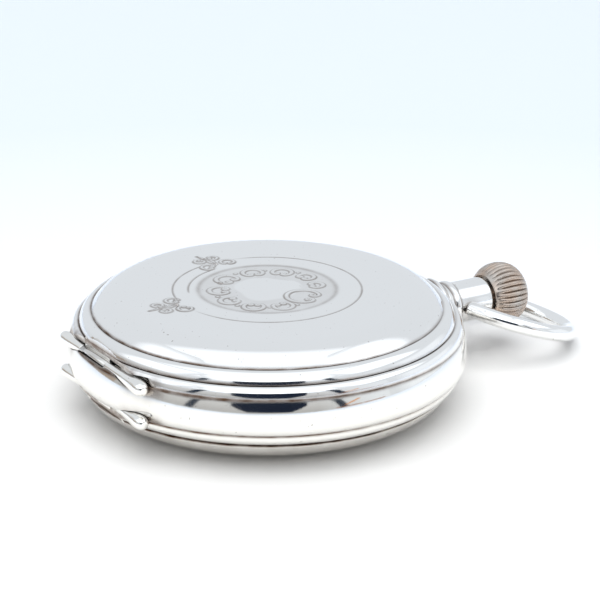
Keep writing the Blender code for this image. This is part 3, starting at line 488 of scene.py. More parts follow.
def engrave(bm):
    """Swap the lid's flat middle for a fine grid carrying the engraving."""
    panel = [f for f in bm.faces if len(f.verts) > 60 and f.calc_center_median().z > LID_TOP - 0.1]
    ring = sorted(panel[0].verts, key=lambda v: math.atan2(v.co.y, v.co.x) % TAU)
    bmesh.ops.delete(bm, geom=panel, context="FACES_ONLY")
    half = len(ring)
    count = 2 * half
    radii = np.arange(PANEL_RADIUS - 0.12, 0.1, -0.1)
    turns = np.array([math.atan2(v.co.y, v.co.x) for v in ring])
    turns = np.stack([turns, turns + TAU / count], axis=1).ravel()
    grid_r, grid_t = np.meshgrid(radii, turns, indexing="ij")
    x, y = grid_r * np.cos(grid_t), grid_r * np.sin(grid_t)
    z = LID_TOP + engraving(x.ravel(), y.ravel())[0].reshape(x.shape)
    rows = []
    for i in range(len(radii)):
        rows.append([bm.verts.new((x[i, j], y[i, j], z[i, j])) for j in range(count)])
    rows.append([bm.verts.new((0.0, 0.0, LID_TOP))])
    for i in range(half):
        a, b = ring[i], ring[(i + 1) % half]
        c, d, e = rows[0][2 * i], rows[0][2 * i + 1], rows[0][(2 * i + 2) % count]
        bm.faces.new((a, d, c))
        bm.faces.new((a, b, d))
        bm.faces.new((b, e, d))
    skin(bm, rows)


def scroll(centre, size, aim, hand):
    """A C-scroll: an open arc whose two ends curl inwards."""
    half_sweep = math.radians(SWEEP) / 2
    points = []
    steps = 44
    for i in range(steps + 1):
        u = 2.0 * i / steps - 1.0
        angle = math.radians(aim) + hand * half_sweep * u
        reach = size * (1.0 - 0.16 * u * u)
        points.append((centre[0] + reach * math.cos(angle), centre[1] + reach * math.sin(angle)))
    for end, way in ((0, -1), (-1, 1)):
        x, y = points[end]
        heading = math.radians(aim) + way * hand * half_sweep + way * hand * math.pi / 2
        spin = []
        for i in range(30):
            share = i / 30
            heading += way * hand * (0.16 + 0.32 * share) * CURL
            pace = size * 0.075 * (1 - 0.55 * share)
            x += pace * math.cos(heading)
            y += pace * math.sin(heading)
            spin.append((x, y))
        points = spin[::-1] + points if end == 0 else points + spin
    return points


def distance_to(points, x, y):
    """Distance of each (x, y) from a polyline, and how far along it the nearest place is."""
    best = np.full(x.shape, 1e9)
    along = np.zeros(x.shape)
    total = len(points) - 1
    for i, ((ax, ay), (bx, by)) in enumerate(zip(points, points[1:])):
        dx, dy = bx - ax, by - ay
        length = dx * dx + dy * dy + 1e-12
        t = np.clip(((x - ax) * dx + (y - ay) * dy) / length, 0, 1)
        gap = np.hypot(x - ax - t * dx, y - ay - t * dy)
        closer = gap < best
        best = np.where(closer, gap, best)
        along = np.where(closer, (i + t) / total, along)
    return best, along


def moulding(points, x, y, width):
    """Roundness of a curl that is widest at its middle, and how dark the line beside it is."""
    rise = np.zeros(x.shape)
    stain = np.zeros(x.shape)
    px, py = zip(*points)
    reach = width + 0.3
    near = (x > min(px) - reach) & (x < max(px) + reach) & (y > min(py) - reach) & (y < max(py) + reach)
    if near.any():
        gap, along = distance_to(points, x[near], y[near])
        half = width * (0.4 + 0.6 * np.sin(math.pi * along))
        rise[near] = np.sqrt(np.clip(1 - (gap / half) ** 2, 0, 1))
        stain[near] = np.exp(-((gap - half) / 0.13) ** 2)
    return rise, stain


def arc_points(radius, start, end, count):
    turns = np.radians(np.linspace(start, end, count))
    return [(radius * math.cos(t), radius * math.sin(t)) for t in turns]


def shield_radius(angle):
    """Wavy outline of the blank shield in the middle."""
    return 4.1 + (0.3 * np.cos(3 * angle + 0.6) + 0.18 * np.cos(5 * angle))


SWEEP = 250.0
CURL = 1.15
FIELD_RADIUS = 8.86
RING_RADIUS = 11.97
GROUND_DEPTH = 0.055
RING_DEPTH = 0.06
SCROLL_RISE = 0.10
BEAD_RISE = 0.09
BEAD_RADIUS = 0.28
RINGS = [
    # radius, first and last bearing of the cut line in degrees
    (RING_RADIUS, -172, 86), (RING_RADIUS, 101, 174), (10.0, 99, 160),
]
SCROLLS = [
    # centre, size, aim, hand
    ((2.6, -4.9), 2.35, 128.0, 1), ((-1.5, -6.2), 1.35, -88.0, 1), ((-4.7, -4.6), 1.35, -128.0, -1),
    ((-6.1, -1.3), 1.30, 178.0, 1), ((-5.4, 2.4), 1.45, 150.0, -1), ((-2.6, 5.4), 1.55, 112.0, 1),
    ((1.4, 5.9), 1.40, 75.0, -1), ((4.7, 4.2), 1.35, 38.0, 1), ((6.4, 1.2), 1.15, 8.0, -1),
    ((5.9, -2.0), 1.0, -20.0, -1),
]
BEADS = [
    (-3.2, -5.9), (-6.3, -3.3), (-6.8, 0.7), (-4.1, 4.8),
    (-0.6, 6.9), (3.2, 6.0), (6.5, 3.1), (0.2, -6.9),
]


def ornament(centre, turn):
    """A small foliate clasp on the outer ring."""
    shapes = [scroll((0.0, way * 1.55), 0.95, way * 40.0, way) for way in (1, -1)]
    shapes += [scroll((2.5, way * 1.0), 0.7, way * 120.0, -way) for way in (1, -1)]
    shapes.append([(0.2, 0.0), (1.4, 0.28), (2.8, 0.0), (4.3, 0.1)])
    shapes.append([(0.2, 0.0), (1.4, -0.28), (2.8, 0.0)])
    c, s = math.cos(turn), math.sin(turn)
    x0, y0 = centre
    return [[(x0 + x * c - y * s, y0 + x * s + y * c) for x, y in shape] for shape in shapes]


def engraving(x, y):
    """Height of the lid's engraving above its flat, in millimetres, and how much tarnish and painted
    shade it holds.
    """
    radius, angle = np.hypot(x, y), np.arctan2(y, x)
    field = 1.0 / (1.0 + np.exp((radius - FIELD_RADIUS) / 0.10))
    blank = 1.0 / (1.0 + np.exp((radius - shield_radius(angle)) / 0.07))
    ground = field * (1 - blank)
    height = -GROUND_DEPTH * ground
    # Painted shade: a soft dark band just inside the field's edge; the rest is tarnish in the sunk
    # ground
    stain = 0.14 * ground + 0.36 * np.exp(-((radius - FIELD_RADIUS + 0.1) / 0.32) ** 2)
    for ring, start, end in RINGS:
        gap, along = distance_to(arc_points(ring, start, end, 240), x, y)
        taper = np.clip(12 * np.minimum(along, 1 - along), 0, 1)
        cut = np.clip(1 - gap / 0.21, 0, 1) * taper
        height -= RING_DEPTH * cut
        stain = np.maximum(stain, 0.78 * cut)
    curls = [(scroll(*place), 0.34, field) for place in SCROLLS]
    for clasp in (ornament((-12.4, 0.6), math.pi), ornament((-0.9, 10.9), math.radians(100))):
        curls += [(shape, 0.25, 1.0) for shape in clasp]
    for shape, width, share in curls:
        rise, dark = moulding(shape, x, y, width)
        height += SCROLL_RISE * rise * share
        stain = np.maximum(stain, 0.72 * dark * share)
    for centre in BEADS:
        gap = np.hypot(x - centre[0], y - centre[1])
        height += BEAD_RISE * np.sqrt(np.clip(1 - (gap / BEAD_RADIUS) ** 2, 0, 1))
        stain = np.maximum(stain, 0.7 * np.exp(-((gap - 0.3) / 0.12) ** 2))
    fade = np.clip((PANEL_RADIUS - 0.2 - radius) / 0.3, 0, 1)
    return height * fade, stain * fade


def engraving_tarnish_and_shade(places):
    """Tarnish and painted shade of the lid's top; the inside and the rim have none."""
    top = (places[:, 2] > LID_TOP - 0.2) & (np.hypot(places[:, 0], places[:, 1]) < PANEL_RADIUS)
    stain = np.zeros(len(places))
    stain[top] = engraving(places[top, 0], places[top, 1])[1]
    return stain


# Band


def band_profile():
    outside = corners((24.9, UPPER_SPLIT))
    outside += [(24.94, 9.54), (25.1, 9.12), (25.25, 8.62), (25.36, 8.14), (25.44, 7.68), (25.5, 7.15)]
    outside += [(25.49, 6.6), (25.4, 6.05), (25.2, 5.5), (24.95, 5.1), (24.8, 4.97)]
    outside += corners((24.72, LOWER_SPLIT))
    inner = corners((22.7, LOWER_SPLIT), (22.7, 4.2), (21.4, 4.2))
    inner += [(21.4, 7.35), (20.4, 7.35), (20.4, 7.95), (21.4, 7.95)]
    inner += corners((21.4, 10.9), (22.5, 10.9), (22.5, UPPER_SPLIT))
    return soften(outside, 3) + inner


def hinge_cylinder(start, end, hinge_z):
    """The room that the knuckles turn in."""
    return laid(rod(KNUCKLE_ROOM, start, end, 32), (HINGE_X, 0.0, hinge_z), "Y")


def make_band(look):
    bm = lathe(band_profile(), closed=True)
    cutters = [hinge_cylinder(-1.85, 4.72, LID_HINGE_Z), hinge_cylinder(-4.72, 4.72, BACK_HINGE_Z)]
    for side in (-1, 1):
        cutters += [teardrop_hollow(side, z) for z in (LID_HINGE_Z, BACK_HINGE_Z)]
    cutters.append(laid(rod(1.92, 19.0, 27.0, 40), (0, 0, STEM_Z), "X"))
    # Two hollows inside the rim leave room for the lock spring and the fly spring
    for start, end in ((8.0, 60.0), (203.0, 255.0)):
        outline = arc_points(24.15, start, end, 40) + arc_points(22.8, end, start, 40)
        cutters.append(prism(outline, 6.2, 9.9))
    bm = carve(bm, cutters)
    piece = add("case_band_polished", bm, look, "case", ["case_middle"], sharp=35)
    # Painted shade: dark spots round the hinge ends stand for the shade in the crevices they lie in
    spots = []
    for side in (-1, 1):
        for z in (LID_HINGE_Z, BACK_HINGE_Z):
            for y, reach in ((7.5, 1.2), (9.0, 1.3), (10.2, 1.3), (11.2, 1.1)):
                spots.append(((-math.sqrt(24.9 ** 2 - y ** 2), side * y, z), reach))
    set_tarnish_and_shade(piece, GROOVES, spots=spots)


def hinge_end(side, start, hinge_z):
    """A fixed knuckle that runs out into a polished teardrop."""
    far = side > 0
    tip = [10.05, 10.2, 10.32, 10.4, 10.46, 10.52] if far else [10.6, 10.8, 10.92, 11.0, 11.04, 11.06]
    ys = list(np.linspace(start, tip[0] - 0.2, 26)) + tip
    profile = [(0.0, side * ys[0]), (0.58, side * ys[0]), (KNUCKLE_RADIUS, side * (ys[0] + 0.06))]
    profile += [(teardrop_radius(y, far), side * y) for y in ys[1:]]
    return laid(lathe(soften(profile, 2), 48), (HINGE_X, 0.0, hinge_z), "Y")


def make_hinge_ends(look):
    for name, side, start, z in (
        ("lid_hinge_end_far", 1, 4.72, LID_HINGE_Z), ("lid_hinge_end_near", -1, 1.85, LID_HINGE_Z),
        ("back_hinge_end_far", 1, 4.72, BACK_HINGE_Z), ("back_hinge_end_near", -1, 4.72, BACK_HINGE_Z),
    ):
        piece = add(name, hinge_end(side, start, z), look, "case", sharp=50)
        # Painted shade: a dark spot where the hinge end meets the band
        set_tarnish_and_shade(piece, spots=[((HINGE_X + 0.9, side * 9.5, z), 0.8)])


def knuckle(start, end, hinge_z, look, name, body):
    """A hinge tube on a moving cover, its ends slightly rounded, drilled for the pin."""
    outer, bore, edge = KNUCKLE_RADIUS, 0.33, 0.06
    profile = [(bore, start), (outer - edge, start), (outer, start + edge)]
    profile += [(outer, end - edge), (outer - edge, end), (bore, end)]
    bm = laid(lathe(profile, 40, closed=True), (HINGE_X, 0.0, hinge_z), "Y")
    piece = add(name, bm, look, body, sharp=50)
    set_tarnish_and_shade(piece, spots=[((HINGE_X, start, hinge_z), 0.6), ((HINGE_X, end, hinge_z), 0.6)])


def strap(points, span, hinge_z, way, look, name, body):
    """The solder strap that ties a knuckle to its cover."""
    outline = [(HINGE_X + x, -(hinge_z + way * z)) for x, z in points]
    piece = add(name, turned(prism(outline, *span), -math.pi / 2, "X"), look, body)
    set_tarnish_and_shade(piece)


def make_moving_knuckles(look):
    lid = [(0.22, 0.4), (0.62, 0.4), (0.62, 1.3), (1.4, 1.9), (1.4, 2.3), (0.6, 2.1), (0.22, 1.6)]
    strap(lid, (-1.8, 4.67), LID_HINGE_Z, 1, look, "lid_strap", "front_cover")
    knuckle(-1.8, 4.67, LID_HINGE_Z, look, "lid_knuckle", "front_cover")
    back = [(0.3, 0.4), (0.62, 0.4), (0.62, 1.2), (1.3, 1.6), (1.3, 2.2), (0.5, 2.2), (0.3, 1.6)]
    for number, span in enumerate(((-4.67, -1.83), (1.43, 4.67))):
        strap(back, span, BACK_HINGE_Z, -1, look, f"back_strap_{number}", "back_cover")
        knuckle(*span, BACK_HINGE_Z, look, f"back_knuckle_{number}", "back_cover")
    inner = [(0.12, 0.4), (0.62, 0.4), (0.62, 1.0), (1.55, 1.0), (1.55, 1.32), (0.12, 1.32)]
    strap(inner, (-1.8, 1.4), BACK_HINGE_Z, -1, look, "dust_cover_strap", "cuvette")
    knuckle(-1.8, 1.4, BACK_HINGE_Z, look, "dust_cover_knuckle", "cuvette")


# Back cover and dust cover


def underside_painted_shade(places):
    """The back is painted darker and duller below its last groove: painted shade for the shadowed floor
    that this downturned band mirrors.
    """
    return 0.32 * np.clip((3.2 - places[:, 2]) / 0.3, 0, 1)


def make_back_cover(look):
    outside = corners((24.66, 4.91)) + [(24.68, 4.7), (24.6, 4.2), (24.3, 3.75), (23.8, 3.42)]
    outside += corners((23.66, 3.36), (23.5, 3.28), (23.66, 3.2)) + [(23.6, 2.95), (23.32, 2.4)]
    outside += [(22.82, 1.85), (22.05, 1.3), (20.9, 0.76), (19.6, 0.34), (18.4, 0.08), (17.4, 0.0)]
    outside += [(17.0, 0.0), (0, 0.0)]
    inside = [(0, 0.6), (17.4, 0.62), (19.8, 1.0), (21.4, 1.6), (22.5, 2.4), (22.95, 3.5)]
    inside += [(24.1, 4.4), (24.15, 4.91)]
    bm = lathe(soften(inside, 1) + soften(outside, 3))
    flat = box((-27.0, -8.6, 3.3), (-23.45, 8.6, 5.5))
    bm = carve(bm, [hinge_notch(BACK_HINGE_Z, -1, 6.5), flat])
    piece = add("back_cover_polished", bm, look, "back_cover", ["back_cover"], sharp=40)
    # Painted shadow: dark spots along the hinge edge stand for the shade under the hinge barrel; the
    # underside is painted darker as well
    edges = [((HINGE_X, y, 4.1), 0.8) for y in np.linspace(-9, 9, 13)]
    set_tarnish_and_shade(piece, GROOVES, spots=edges, pattern=underside_painted_shade)


def make_dust_cover(look):
    outside = corners((22.0, 4.1)) + [(22.3, 4.12), (22.45, 3.9), (22.45, 3.2), (22.35, 2.75)]
    outside += [(21.9, 2.42), (21.2, 2.4), (0, 2.4)]
    inside = [(0, 2.85), (21.2, 2.85), (21.75, 3.0), (21.95, 3.3), (22.0, 4.1)]
    bm = lathe(soften(inside, 2) + soften(outside, 2), 200)
    bmesh.ops.remove_doubles(bm, verts=bm.verts, dist=1e-5)
    piece = add("dust_cover_polished", bm, look, "cuvette", ["cuvette"], sharp=40)
    set_tarnish_and_shade(piece, [(22.45, 4.0)])


# Pendant, bow and crown


def make_pendant(look):
    profile = corners((1.3, 22.4), (1.83, 22.4), (1.83, 25.1))
    profile += [(3.8, 25.2), (3.96, 25.4), (3.92, 25.75), (3.6, 26.1), (3.2, 26.6), (2.98, 27.1)]
    profile += corners((2.92, 27.3)) + [(3.06, 27.42), (3.17, 27.7), (3.17, 27.98), (3.04, 28.25)]
    profile += corners((2.86, 28.36)) + [(2.84, 28.6), (2.8, 30.5), (2.78, 32.6), (2.76, 33.3)]
    profile += [(2.66, 33.55)] + corners((2.5, 33.6), (1.3, 33.6))
    bm = laid(lathe(soften(profile, 2), 128, closed=True), (0, 0, STEM_Z), "X")
    holes = [laid(rod(0.7, side * 1.95, side * 4.0, 28), BOW_PIVOT, "Y") for side in (-1, 1)]
    piece = add("pendant_polished", carve(bm, holes), look, "case", ["pendant"], sharp=40)
    spots = [((29.8, side * 2.8, 7.0), 1.0) for side in (-1, 1)]
    set_tarnish_and_shade(piece, spots=spots, pattern=pendant_stain)


def pendant_stain(places):
    """Tarnish in the collar's two creases and at the neck's mouth."""
    stain = np.zeros(len(places))
    for x in (25.2, 27.3, 28.36, 33.6):
        stain = np.maximum(stain, 0.8 * np.exp(-((places[:, 0] - x) / 0.16) ** 2))
    return stain


BOW_RADIUS = 8.9
BOW_GAP = 3.2
BOW_WIRE = 1.1
BOW_PIVOT = (29.8, 0.0, 7.0)
BOW_END = 2.86
BOW_STEPS = 240


def bow_path():
    """The bow's middle line, as (outwards, across) places from its pivot."""
    offset = math.sqrt(BOW_RADIUS ** 2 - BOW_GAP ** 2)
    first = math.asin(BOW_END / BOW_RADIUS)
    path = []
    for i in range(BOW_STEPS + 1):
        t = first + (TAU - 2 * first) * i / BOW_STEPS
        path.append((offset - BOW_RADIUS * math.cos(t), BOW_RADIUS * math.sin(t)))
    return path


def make_bow(look):
    """A round wire, thickest at the far side, with rounded ends that carry the pivot pips."""
    path = bow_path()
    bm = bmesh.new()
    rows = []
    turns = [TAU * k / 40 for k in range(40)]
    up = Vector((0, 0, 1))
    for i, (u, v) in enumerate(path):
        before, after = path[max(i - 1, 0)], path[min(i + 1, BOW_STEPS)]
        along = Vector((after[0] - before[0], after[1] - before[1], 0)).normalized()
        side = Vector((along.y, -along.x, 0))
        depth = min(1.0, (abs(v) - BOW_END) / 0.22) if abs(u) < 2.0 else 1.0
        round_off = 0.94 + 0.06 * math.sqrt(max(0.0, 1 - (1 - depth) ** 2))
        wire = (BOW_WIRE - 0.04 * abs(math.cos(math.pi * i / BOW_STEPS))) * round_off
        ring = [wire * (math.cos(t) * side + math.sin(t) * up) for t in turns]
        rows.append([bm.verts.new(Vector((u, v, 0)) + step) for step in ring])
    skin(bm, rows)
    bm.faces.new(rows[0][::-1])
    bm.faces.new(rows[-1])
    for side in (-1, 1):
        profile = [(0, 2.1), (0.54, 2.1), (0.6, 2.2), (0.6, 3.3), (0, 3.3)]
        pip = lathe([(radius, side * y) for radius, y in profile], 28)
        bm = merged([bm, laid(pip, (0, 0, 0), "Y")])
    reach = math.sqrt(BOW_RADIUS ** 2 - BOW_GAP ** 2) + BOW_RADIUS
    drop = math.asin((BOW_PIVOT[2] - BOW_WIRE - 0.1) / reach)
    moved(turned(bm, drop, "Y"), BOW_PIVOT)
    piece = add("bow_polished", bm, look, "bow", ["bow"], sharp=50)
    set_tarnish_and_shade(piece, spots=[((30.0, side * 2.9, 6.95), 0.9) for side in (-1, 1)])


def crown_look():
    """Rose gilding worn to grey nickel on the crests, darker between the ribs."""
    look, tree, shader = principled("worn_gilt_crown", (0.50, 0.42, 0.36), 1.0, 0.28)
    patches = ramp(tree, noise(tree, 420, detail=5.0), 0.35, 0.65)
    worn = mix_colour(tree, patches, (0.52, 0.40, 0.32), (0.50, 0.46, 0.42))
    paint(tree, shader, math_node(tree, "MULTIPLY", stored_tarnish_and_shade(tree), 0.85), worn, (0.11, 0.08, 0.06))
    roughen(tree, shader, noise(tree, 3000, detail=3.0), 0.3, 0.7, 0.2, 0.36)
    bump(tree, shader, noise(tree, 9000, detail=2.0), 0.12, 0.00002)
    return look


def make_crown(look):
    """Onion-shaped ribbed knob, hollow at the pendant end, with a smooth collar and a turned cap."""
    ribs = 34
    per_rib = 8
    count = ribs * per_rib
    hollow = [(36.46, 0.0), (36.46, 0.66), (30.5, 0.66), (30.5, 1.2), (34.6, 1.2), (34.6, 2.9)]
    smooth = [(33.72, 2.9), (33.7, 3.0), (33.72, 3.1), (33.82, 3.18), (34.0, 3.24)]
    ribbed = [(34.14, 3.36), (34.4, 3.58), (34.8, 3.84), (35.3, 4.05), (35.9, 4.18), (36.5, 4.2)]
    ribbed += [(37.1, 4.13), (37.7, 3.97), (38.2, 3.74), (38.6, 3.45), (38.9, 3.12), (39.05, 2.9)]
    cap = [(39.1, 2.78), (39.16, 2.62), (39.3, 2.1), (39.45, 1.4), (39.56, 0.7), (39.6, 0.0)]
    first, last = ribbed[0][0], ribbed[-1][0]
    bm = bmesh.new()
    rows = []
    tarnish_and_shade = []
    for x, r in hollow + smooth + ribbed + cap:
        share = 0.0
        if (x, r) in ribbed:
            place = (x - first) / (last - first)
            share = min(1.0, 5 * place + 0.2) * min(1.0, 6 * (1 - place) + 0.15)
        ring = []
        for i in range(count if r > 0 else 1):
            t = TAU * i / count
            wave = abs(math.sin(math.pi * i / per_rib))
            deep = 0.30 * share * (1 - wave ** 0.75)
            ring.append(bm.verts.new((x, (r - deep) * math.cos(t), STEM_Z + (r - deep) * math.sin(t))))
            tarnish_and_shade.append(1.0 if share > 0 and wave < 0.2 else 0.0)
        rows.append(ring)
    skin(bm, rows)
    piece = add("crown_ribbed", bm, look, "crown", ["crown"], sharp=60)
    store_tarnish_and_shade(piece.data, tarnish_and_shade)


# Dial and hands


DIAL_LOW = 10.0
DIAL_TOP = 10.55
DIAL_RADIUS = 20.6
SECONDS_LOW = 10.42
PRINT = 0.012
TICKS = 60
NUMERALS = ["XII", "I", "II", "III", "IIII", "V", "", "VII", "VIII", "IX", "X", "XI"]
NUMERAL_FOOT = 13.4
NUMERAL_TALL = 3.5


def enamel_look():
    """Fired enamel: warm white, glassy, with a faint cloudiness."""
    look, tree, shader = principled("enamel_white", (0.81, 0.80, 0.76), 0.0, 0.16)
    shader.inputs["Coat Weight"].default_value = 0.7
    shader.inputs["Coat Roughness"].default_value = 0.03
    cloud = ramp(tree, noise(tree, 130, detail=4.0), 0.35, 0.7)
    specks = ramp(tree, noise(tree, 5200, detail=0.0), 0.80, 0.86)
    warm = mix_colour(tree, cloud, (0.82, 0.81, 0.775), (0.79, 0.775, 0.73))
    paint(tree, shader, specks, warm, (0.45, 0.42, 0.38))
    bump(tree, shader, noise(tree, 180, detail=2.0), 0.05, 0.00004)
    return look


def ink_look():
    """Black printed enamel, slightly uneven where it is thin."""
    look, tree, shader = principled("printed_black", (0.012, 0.012, 0.014), 0.0, 0.3)
    thin = ramp(tree, noise(tree, 4000, detail=4.0), 0.45, 0.8)
    paint(tree, shader, thin, (0.010, 0.010, 0.012), (0.05, 0.05, 0.055))
    return look


def slab(bm, outline, low, high):
    """Add a thin convex plate to a bmesh."""
    bottom = [bm.verts.new((x, y, low)) for x, y in outline]
    top = [bm.verts.new((x, y, high)) for x, y in outline]
    bm.faces.new(bottom[::-1])
    bm.faces.new(top)
    for i in range(len(outline)):
        j = (i + 1) % len(outline)
        bm.faces.new((bottom[i], bottom[j], top[j], top[i]))


def bar(a, b, wide):
    """A straight stroke between two points, its ends cut level."""
    half = wide / 2
    return [(a[0] - half, a[1]), (b[0] - half, b[1]), (b[0] + half, b[1]), (a[0] + half, a[1])]


def letter(kind, x):
    """The strokes and serifs of I, V or X with its left side at x, and its width."""
    tall, thick, thin, serif = NUMERAL_TALL, 0.44, 0.14, 0.10
    if kind == "I":
        width = 0.98
        middle = x + width / 2
        strokes = [bar((middle, 0), (middle, tall), thick)]
        feet = [(middle, 0), (middle, tall - serif)]
    elif kind == "V":
        width = 1.95
        left, foot, right = x + 0.45, x + width / 2, x + width - 0.35
        strokes = [bar((foot, 0), (left, tall), thick), bar((foot, 0), (right, tall), thin)]
        feet = [(left, tall - serif), (right, tall - serif)]
    else:
        width = 2.0
        left, right = x + 0.4, x + width - 0.4
        strokes = [bar((right, 0), (left, tall), thick), bar((left, 0), (right, tall), thin)]
        feet = [(left, 0), (right, 0), (left, tall - serif), (right, tall - serif)]
    for fx, fy in feet:
        left, right, top = fx - 0.42, fx + 0.42, fy + serif
        strokes.append([(left, fy), (left, top), (right, top), (right, fy)])
    return strokes, width


def on_dial(x, y, clock):
    """Wrap a numeral's own (across, up) onto the dial at a clock angle in degrees."""
    radius = NUMERAL_FOOT + y
    turn = math.radians(90 - clock) - x / (NUMERAL_FOOT + NUMERAL_TALL / 2)
    return (radius * math.cos(turn), radius * math.sin(turn))


def add_numerals(bm):
    for hour, word in enumerate(NUMERALS):
        strokes, x = [], 0.0
        for kind in word:
            made, width = letter(kind, x)
            strokes += made
            x += width
        for outline in strokes:
            placed = [on_dial(px - x / 2, py, 30 * hour) for px, py in outline]
            slab(bm, placed, DIAL_TOP - PRINT, DIAL_TOP + PRINT)


def add_track(bm, spot, radii, top, wide):
    """Two fine rings with sixty ticks between them, every fifth one bold."""
    inner, outer = radii
    for radius in radii:
        ring = [(radius - wide / 2, top - PRINT), (radius + wide / 2, top - PRINT)]
        ring += [(radius + wide / 2, top + PRINT), (radius - wide / 2, top + PRINT)]
        first = len(bm.verts)
        lathe(ring, 180, closed=True, bm=bm)
        bm.verts.ensure_lookup_table()
        bmesh.ops.translate(bm, verts=bm.verts[first:], vec=(*spot, 0.0))
    for i in range(TICKS):
        half = wide * (1.7 if i % 5 == 0 else 0.6)
        c, s = math.cos(TAU * i / TICKS), math.sin(TAU * i / TICKS)
        plan = [(inner, -half), (outer, -half), (outer, half), (inner, half)]
        tick = [(spot[0] + r * c - w * s, spot[1] + r * s + w * c) for r, w in plan]
        slab(bm, tick, top - PRINT, top + PRINT)


def make_dial():
    profile = [(1.4, DIAL_LOW), (DIAL_RADIUS, DIAL_LOW), (DIAL_RADIUS, 10.42), (20.52, 10.5)]
    profile += [(20.35, DIAL_TOP), (1.5, DIAL_TOP), (1.4, 10.5)]
    bm = lathe(profile, 192, closed=True)
    sunk = lathe([(0, SECONDS_LOW), (4.42, SECONDS_LOW), (4.52, 10.5), (4.62, 10.7), (0, 10.7)], 120)
    cutters = [moved(shape, (*FOURTH, 0.0)) for shape in (sunk, rod(0.5, 9.5, 10.6, 32))]
    add("dial_enamel", carve(bm, cutters), enamel_look(), "case", ["dial"], sharp=30)
    marks = bmesh.new()
    add_numerals(marks)
    add_track(marks, CENTRE, (17.9, 18.9), DIAL_TOP, 0.09)
    add_track(marks, FOURTH, (3.45, 4.05), SECONDS_LOW, 0.06)
    add("dial_print", marks, ink_look(), "case", sharp=30)


def blued_look(name, roughness):
    """Heat-blued steel: deep blue that drifts to violet, finely polished."""
    look, tree, shader = principled(name, (0.02, 0.045, 0.16), 1.0, roughness)
    drift = ramp(tree, noise(tree, 260, detail=2.0), 0.35, 0.7)
    paint(tree, shader, drift, (0.018, 0.055, 0.19), (0.045, 0.028, 0.13))
    grain = noise(tree, 6000, (1.0, 8.0, 1.0), 2.0, 0.4)
    roughen(tree, shader, grain, 0.3, 0.7, roughness, roughness + 0.1)
    return look


def spade(boss, half_stem, bulb, tip):
    """Outline of a spade hand that points along X from its round boss to its tip."""
    start = math.degrees(math.asin(half_stem / boss))
    outline = arc_points(boss, 180, start, 30)
    outline += bulb + [(tip, 0.0)] + [(x, -y) for x, y in reversed(bulb)]
    return outline + arc_points(boss, 360 - start, 180, 30)[:-1]


HOUR_BULB = [
    (6.0, 0.24), (6.25, 0.5), (6.6, 0.85), (7.1, 1.15),
    (7.7, 1.28), (8.3, 1.15), (8.8, 0.8), (9.2, 0.45),
]
MINUTE_BULB = [
    (12.0, 0.17), (12.25, 0.4), (12.7, 0.68), (13.3, 0.8),
    (13.9, 0.68), (14.4, 0.42), (14.8, 0.24),
]
HANDS = [
    # name, body, spot, height, boss, half stem, bulb, tip, bore, clock angle
    ("hour_hand", "hour", CENTRE, 10.75, 1.6, 0.26, HOUR_BULB, 10.9, 1.08, 304.0),
    ("minute_hand", "centre", CENTRE, 11.25, 1.3, 0.2, MINUTE_BULB, 17.0, 0.66, 48.0),
    ("seconds_hand", "fourth", FOURTH, 10.8, 0.6, 0.07, [(3.0, 0.05)], 3.7, 0.31, 240.0),
]
HAND_THICKNESS = 0.2


def make_hands():
    """Blued spade hands with their upper edges bevelled."""
    look = blued_look("blued_steel_polished", 0.16)
    for name, body, spot, height, boss, half_stem, bulb, tip, bore, clock in HANDS:
        outline = spade(boss, half_stem, bulb, tip)
        bm = prism(outline, height, height + HAND_THICKNESS, [circle(bore, 40)])
        top = [e for e in bm.edges if min(v.co.z for v in e.verts) > height + HAND_THICKNESS / 2]
        rim = [e for e in top if len(e.link_faces) == 2 and abs(e.calc_face_angle(0.0)) > 0.7]
        bmesh.ops.bevel(bm, geom=rim, offset=0.045, segments=2, affect="EDGES", clamp_overlap=True)
        moved(turned(bm, math.radians(90 - clock)), (*spot, 0.0))
        add(f"{name}_spade", bm, look, body, [name], sharp=25)


def dome_curve(radius, low, rise):
    """Points of the crystal's curve from its middle outwards."""
    steps = 24
    turns = [math.pi / 2 * i / steps for i in range(steps)]
    return [(radius * i / steps, low + rise * math.cos(t) ** 1.15) for i, t in enumerate(turns)]


def glass_look():
    look, tree, shader = principled("watch_glass", (1.0, 1.0, 1.0), 0.0, 0.0)
    shader.inputs["Transmission Weight"].default_value = 1.0
    shader.inputs["IOR"].default_value = 1.5
    smear = ramp(tree, noise(tree, 90, detail=5.0), 0.55, 0.85, 0.0, 0.035)
    tree.links.new(smear, shader.inputs["Roughness"])
    return look


def make_bezel_and_crystal(look):
    profile = corners((22.56, 9.7), (22.88, 9.7))
    profile += [(22.88, 10.7), (22.75, 10.98), (22.3, 11.25), (21.7, 11.6), (21.3, 11.92), (21.05, 12.0)]
    profile += corners((20.95, 11.9)) + [(20.95, 11.75)]
    profile += corners((20.95, 11.2), (20.3, 11.2), (20.3, 10.95), (22.56, 10.95))
    bm = lathe(soften(profile, 2, closed=True), closed=True)
    piece = add("bezel_polished", bm, look, "case", ["bezel"], sharp=35)
    set_tarnish_and_shade(piece, [(20.95, 11.8)], width=0.15)
    edge = [(20.7, 11.7), (20.86, 11.66), (20.9, 11.58), (20.9, 11.32), (20.82, 11.26), (20.3, 11.26)]
    bm = lathe(dome_curve(20.7, 11.7, 1.7) + edge + dome_curve(20.3, 11.26, 1.64)[::-1], 192)
    add("crystal_domed", bm, glass_look(), "case", ["crystal"], sharp=40)


# Movement


